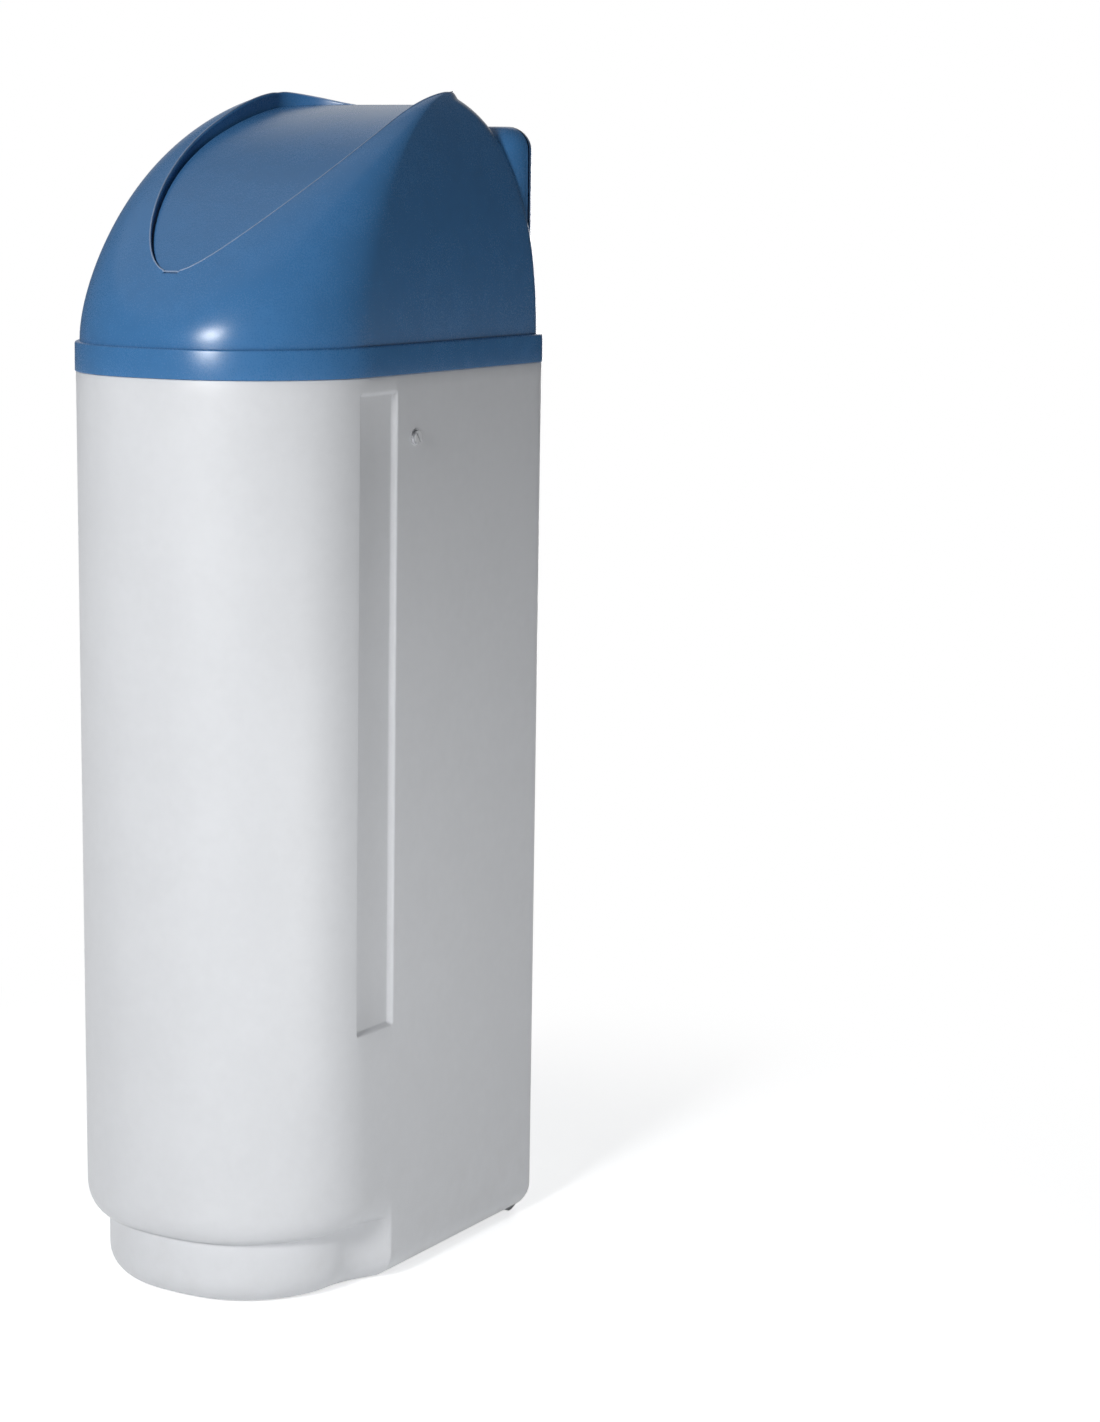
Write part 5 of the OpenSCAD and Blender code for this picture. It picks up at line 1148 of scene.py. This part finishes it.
class OBJECT_OT_softener_marks(bpy.types.Operator):
    """Plain printed marks on the face film and on the buttons"""

    bl_idname = "object.softener_marks"
    bl_label = "Printed marks"

    def stroke(self, line, width, closed=False):
        """A printed line of even width along points on the face, mitred at its corners."""
        points = [Vector(p) for p in line]
        count = len(points)
        left, right = [], []
        for i, p in enumerate(points):
            before = points[i - 1] if i or closed else None
            after = points[(i + 1) % count] if i + 1 < count or closed else None
            ways = [(b - a).normalized() for a, b in ((before, p), (p, after)) if None not in (a, b)]
            way = sum(ways, Vector((0, 0))).normalized()
            half = width / 2 / max(0.4, way.dot(ways[0]))
            left.append(p + Vector((-way.y, way.x)) * half)
            right.append(p - Vector((-way.y, way.x)) * half)
        spans = count if closed else count - 1
        return [(left[i], right[i], right[(i + 1) % count], left[(i + 1) % count]) for i in range(spans)]

    def circle(self, x, z, r, n=24):
        """Points round a circle on the face."""
        return [(x + r * math.cos(a), z + r * math.sin(a)) for a in steps(0, math.tau, n)[:-1]]

    def printed(self, name, quads, y, body):
        """One piece of ink, a hair proud of what carries it."""
        sides = [(0, 1, 2, 3), (7, 6, 5, 4)] + [(i, i + 4, (i + 1) % 4 + 4, (i + 1) % 4) for i in range(4)]
        points = [on_face(p[0], y + back, p[1]) for q in quads for back in (0.0, INK) for p in q]
        faces = [tuple(8 * i + corner for corner in side) for i in range(len(quads)) for side in sides]
        settle(settled(name, points, faces), body, "charcoal")

    def execute(self, context):
        leads = ([(-25, 24.9), (-35, 24.9), (-38.8, 27.6)], [(-24.5, 19.8), (-38.6, 19.8)],
                 [(-24, 15.2), (-34, 15.2), (-38.4, 12.8)], [(-23.5, 7.6), (-34, 7.6), (-39, 4.6)],
                 [(-23, 2.2), (-30.5, 2.2), (-37.8, -4.0)])
        marks = []
        for index, lead in enumerate(leads):
            x, z = -42.6, 29.6 - 9.4 * index
            marks += self.stroke(lead, 0.4)
            if index in (0, 1, 3):
                marks += self.stroke(self.circle(x, z, 2.9), 0.45, True)
            else:
                marks += self.stroke([(x - 3, z - 2.4), (x + 3, z - 2.4), (x, z + 2.8)], 0.45, True)
        marks += self.stroke([(-42.6, 31.4), (-42.6, 29.6), (-41.3, 28.9)], 0.4)
        marks += self.stroke(self.circle(-42.6, 20.2, 1.1), 0.4, True)
        marks += self.stroke([(-44.3, 1.4), (-40.9, 1.4)], 0.45)
        for index in range(7):
            x = -14 + 7.5 * index
            marks += self.stroke([(x, 30.4), (x, 32.6)], 0.5)
        marks += self.stroke([(36.6, 30.2), (41, 30.2), (41, 33.4), (36.6, 33.4)], 0.45, True)
        self.printed("face_marks", marks, FACE_FILM - 0.03, "base")
        for name, x, _, _ in KEYS:
            size = 1.9 if name in ("down", "up") else 2.1
            shape = [(x - size, KEY_ROW), (x, KEY_ROW - size), (x + size, KEY_ROW), (x, KEY_ROW + size)]
            if name == "set":
                shape = [(x + a * size, KEY_ROW + b * size) for a, b in ((-1, -1), (1, -1), (1, 1), (-1, 1))]
            if name == "start":
                shape = self.circle(x, KEY_ROW, 2.9, 32)
            self.printed("ink_" + name, self.stroke(shape, 0.8, True), INK_ON_KEYS, "button_" + name)
        return {"FINISHED"}


class OBJECT_OT_softener_finishes(bpy.types.Operator):
    """Finishes on the CAD pieces that keep their own shape"""

    bl_idname = "object.softener_finishes"
    bl_label = "Finishes"

    def execute(self, context):
        for slot, names in CARRIED.items():
            for name in names:
                mesh = NODES[name].data
                mesh.materials.clear()
                mesh.materials.append(FINISHES[slot])
                mesh.polygons.foreach_set("material_index", [0] * len(mesh.polygons))
                mesh.polygons.foreach_set("use_smooth", [True] * len(mesh.polygons))
                mesh.set_sharp_from_angle(angle=math.radians(30))
        return {"FINISHED"}


class VIEW3D_PT_softener(bpy.types.Panel):
    """Lists the softener's pieces in the sidebar"""

    bl_label = "Water softener"
    bl_idname = "VIEW3D_PT_softener"
    bl_space_type = "VIEW_3D"
    bl_region_type = "UI"
    bl_category = "Softener"

    def draw(self, context):
        for operator in OPERATORS:
            self.layout.operator(operator.bl_idname)
        for group in (context.scene.softener_sizes, context.scene.softener_colours):
            for key in group.__annotations__:
                self.layout.prop(group, key)


OPERATORS = [
    OBJECT_OT_softener_stage, OBJECT_OT_softener_cords, OBJECT_OT_softener_hood, OBJECT_OT_softener_visor,
    OBJECT_OT_softener_cabinet, OBJECT_OT_softener_deck, OBJECT_OT_softener_cover, OBJECT_OT_softener_frame,
    OBJECT_OT_softener_buttons, OBJECT_OT_softener_marks, OBJECT_OT_softener_finishes,
]
CLASSES = [SoftenerSizes, SoftenerColours, *OPERATORS, VIEW3D_PT_softener]


def register():
    """Adds the classes and the two groups of values."""
    for kind in CLASSES:
        bpy.utils.register_class(kind)
    bpy.types.Scene.softener_sizes = PointerProperty(type=SoftenerSizes)
    bpy.types.Scene.softener_colours = PointerProperty(type=SoftenerColours)


def unregister():
    """Takes the classes and the values out again."""
    del bpy.types.Scene.softener_colours
    del bpy.types.Scene.softener_sizes
    for kind in reversed(CLASSES):
        bpy.utils.unregister_class(kind)


def main():
    """Builds the stage and every piece in order."""
    register()
    make_finishes()
    bpy.ops.object.softener_stage()
    bpy.ops.object.softener_cords()
    bpy.ops.object.softener_hood()
    bpy.ops.object.softener_visor()
    bpy.ops.object.softener_cabinet()
    bpy.ops.object.softener_deck()
    bpy.ops.object.softener_cover()
    bpy.ops.object.softener_frame()
    bpy.ops.object.softener_buttons()
    bpy.ops.object.softener_marks()
    bpy.ops.object.softener_finishes()


if __name__ == "__main__":
    main()
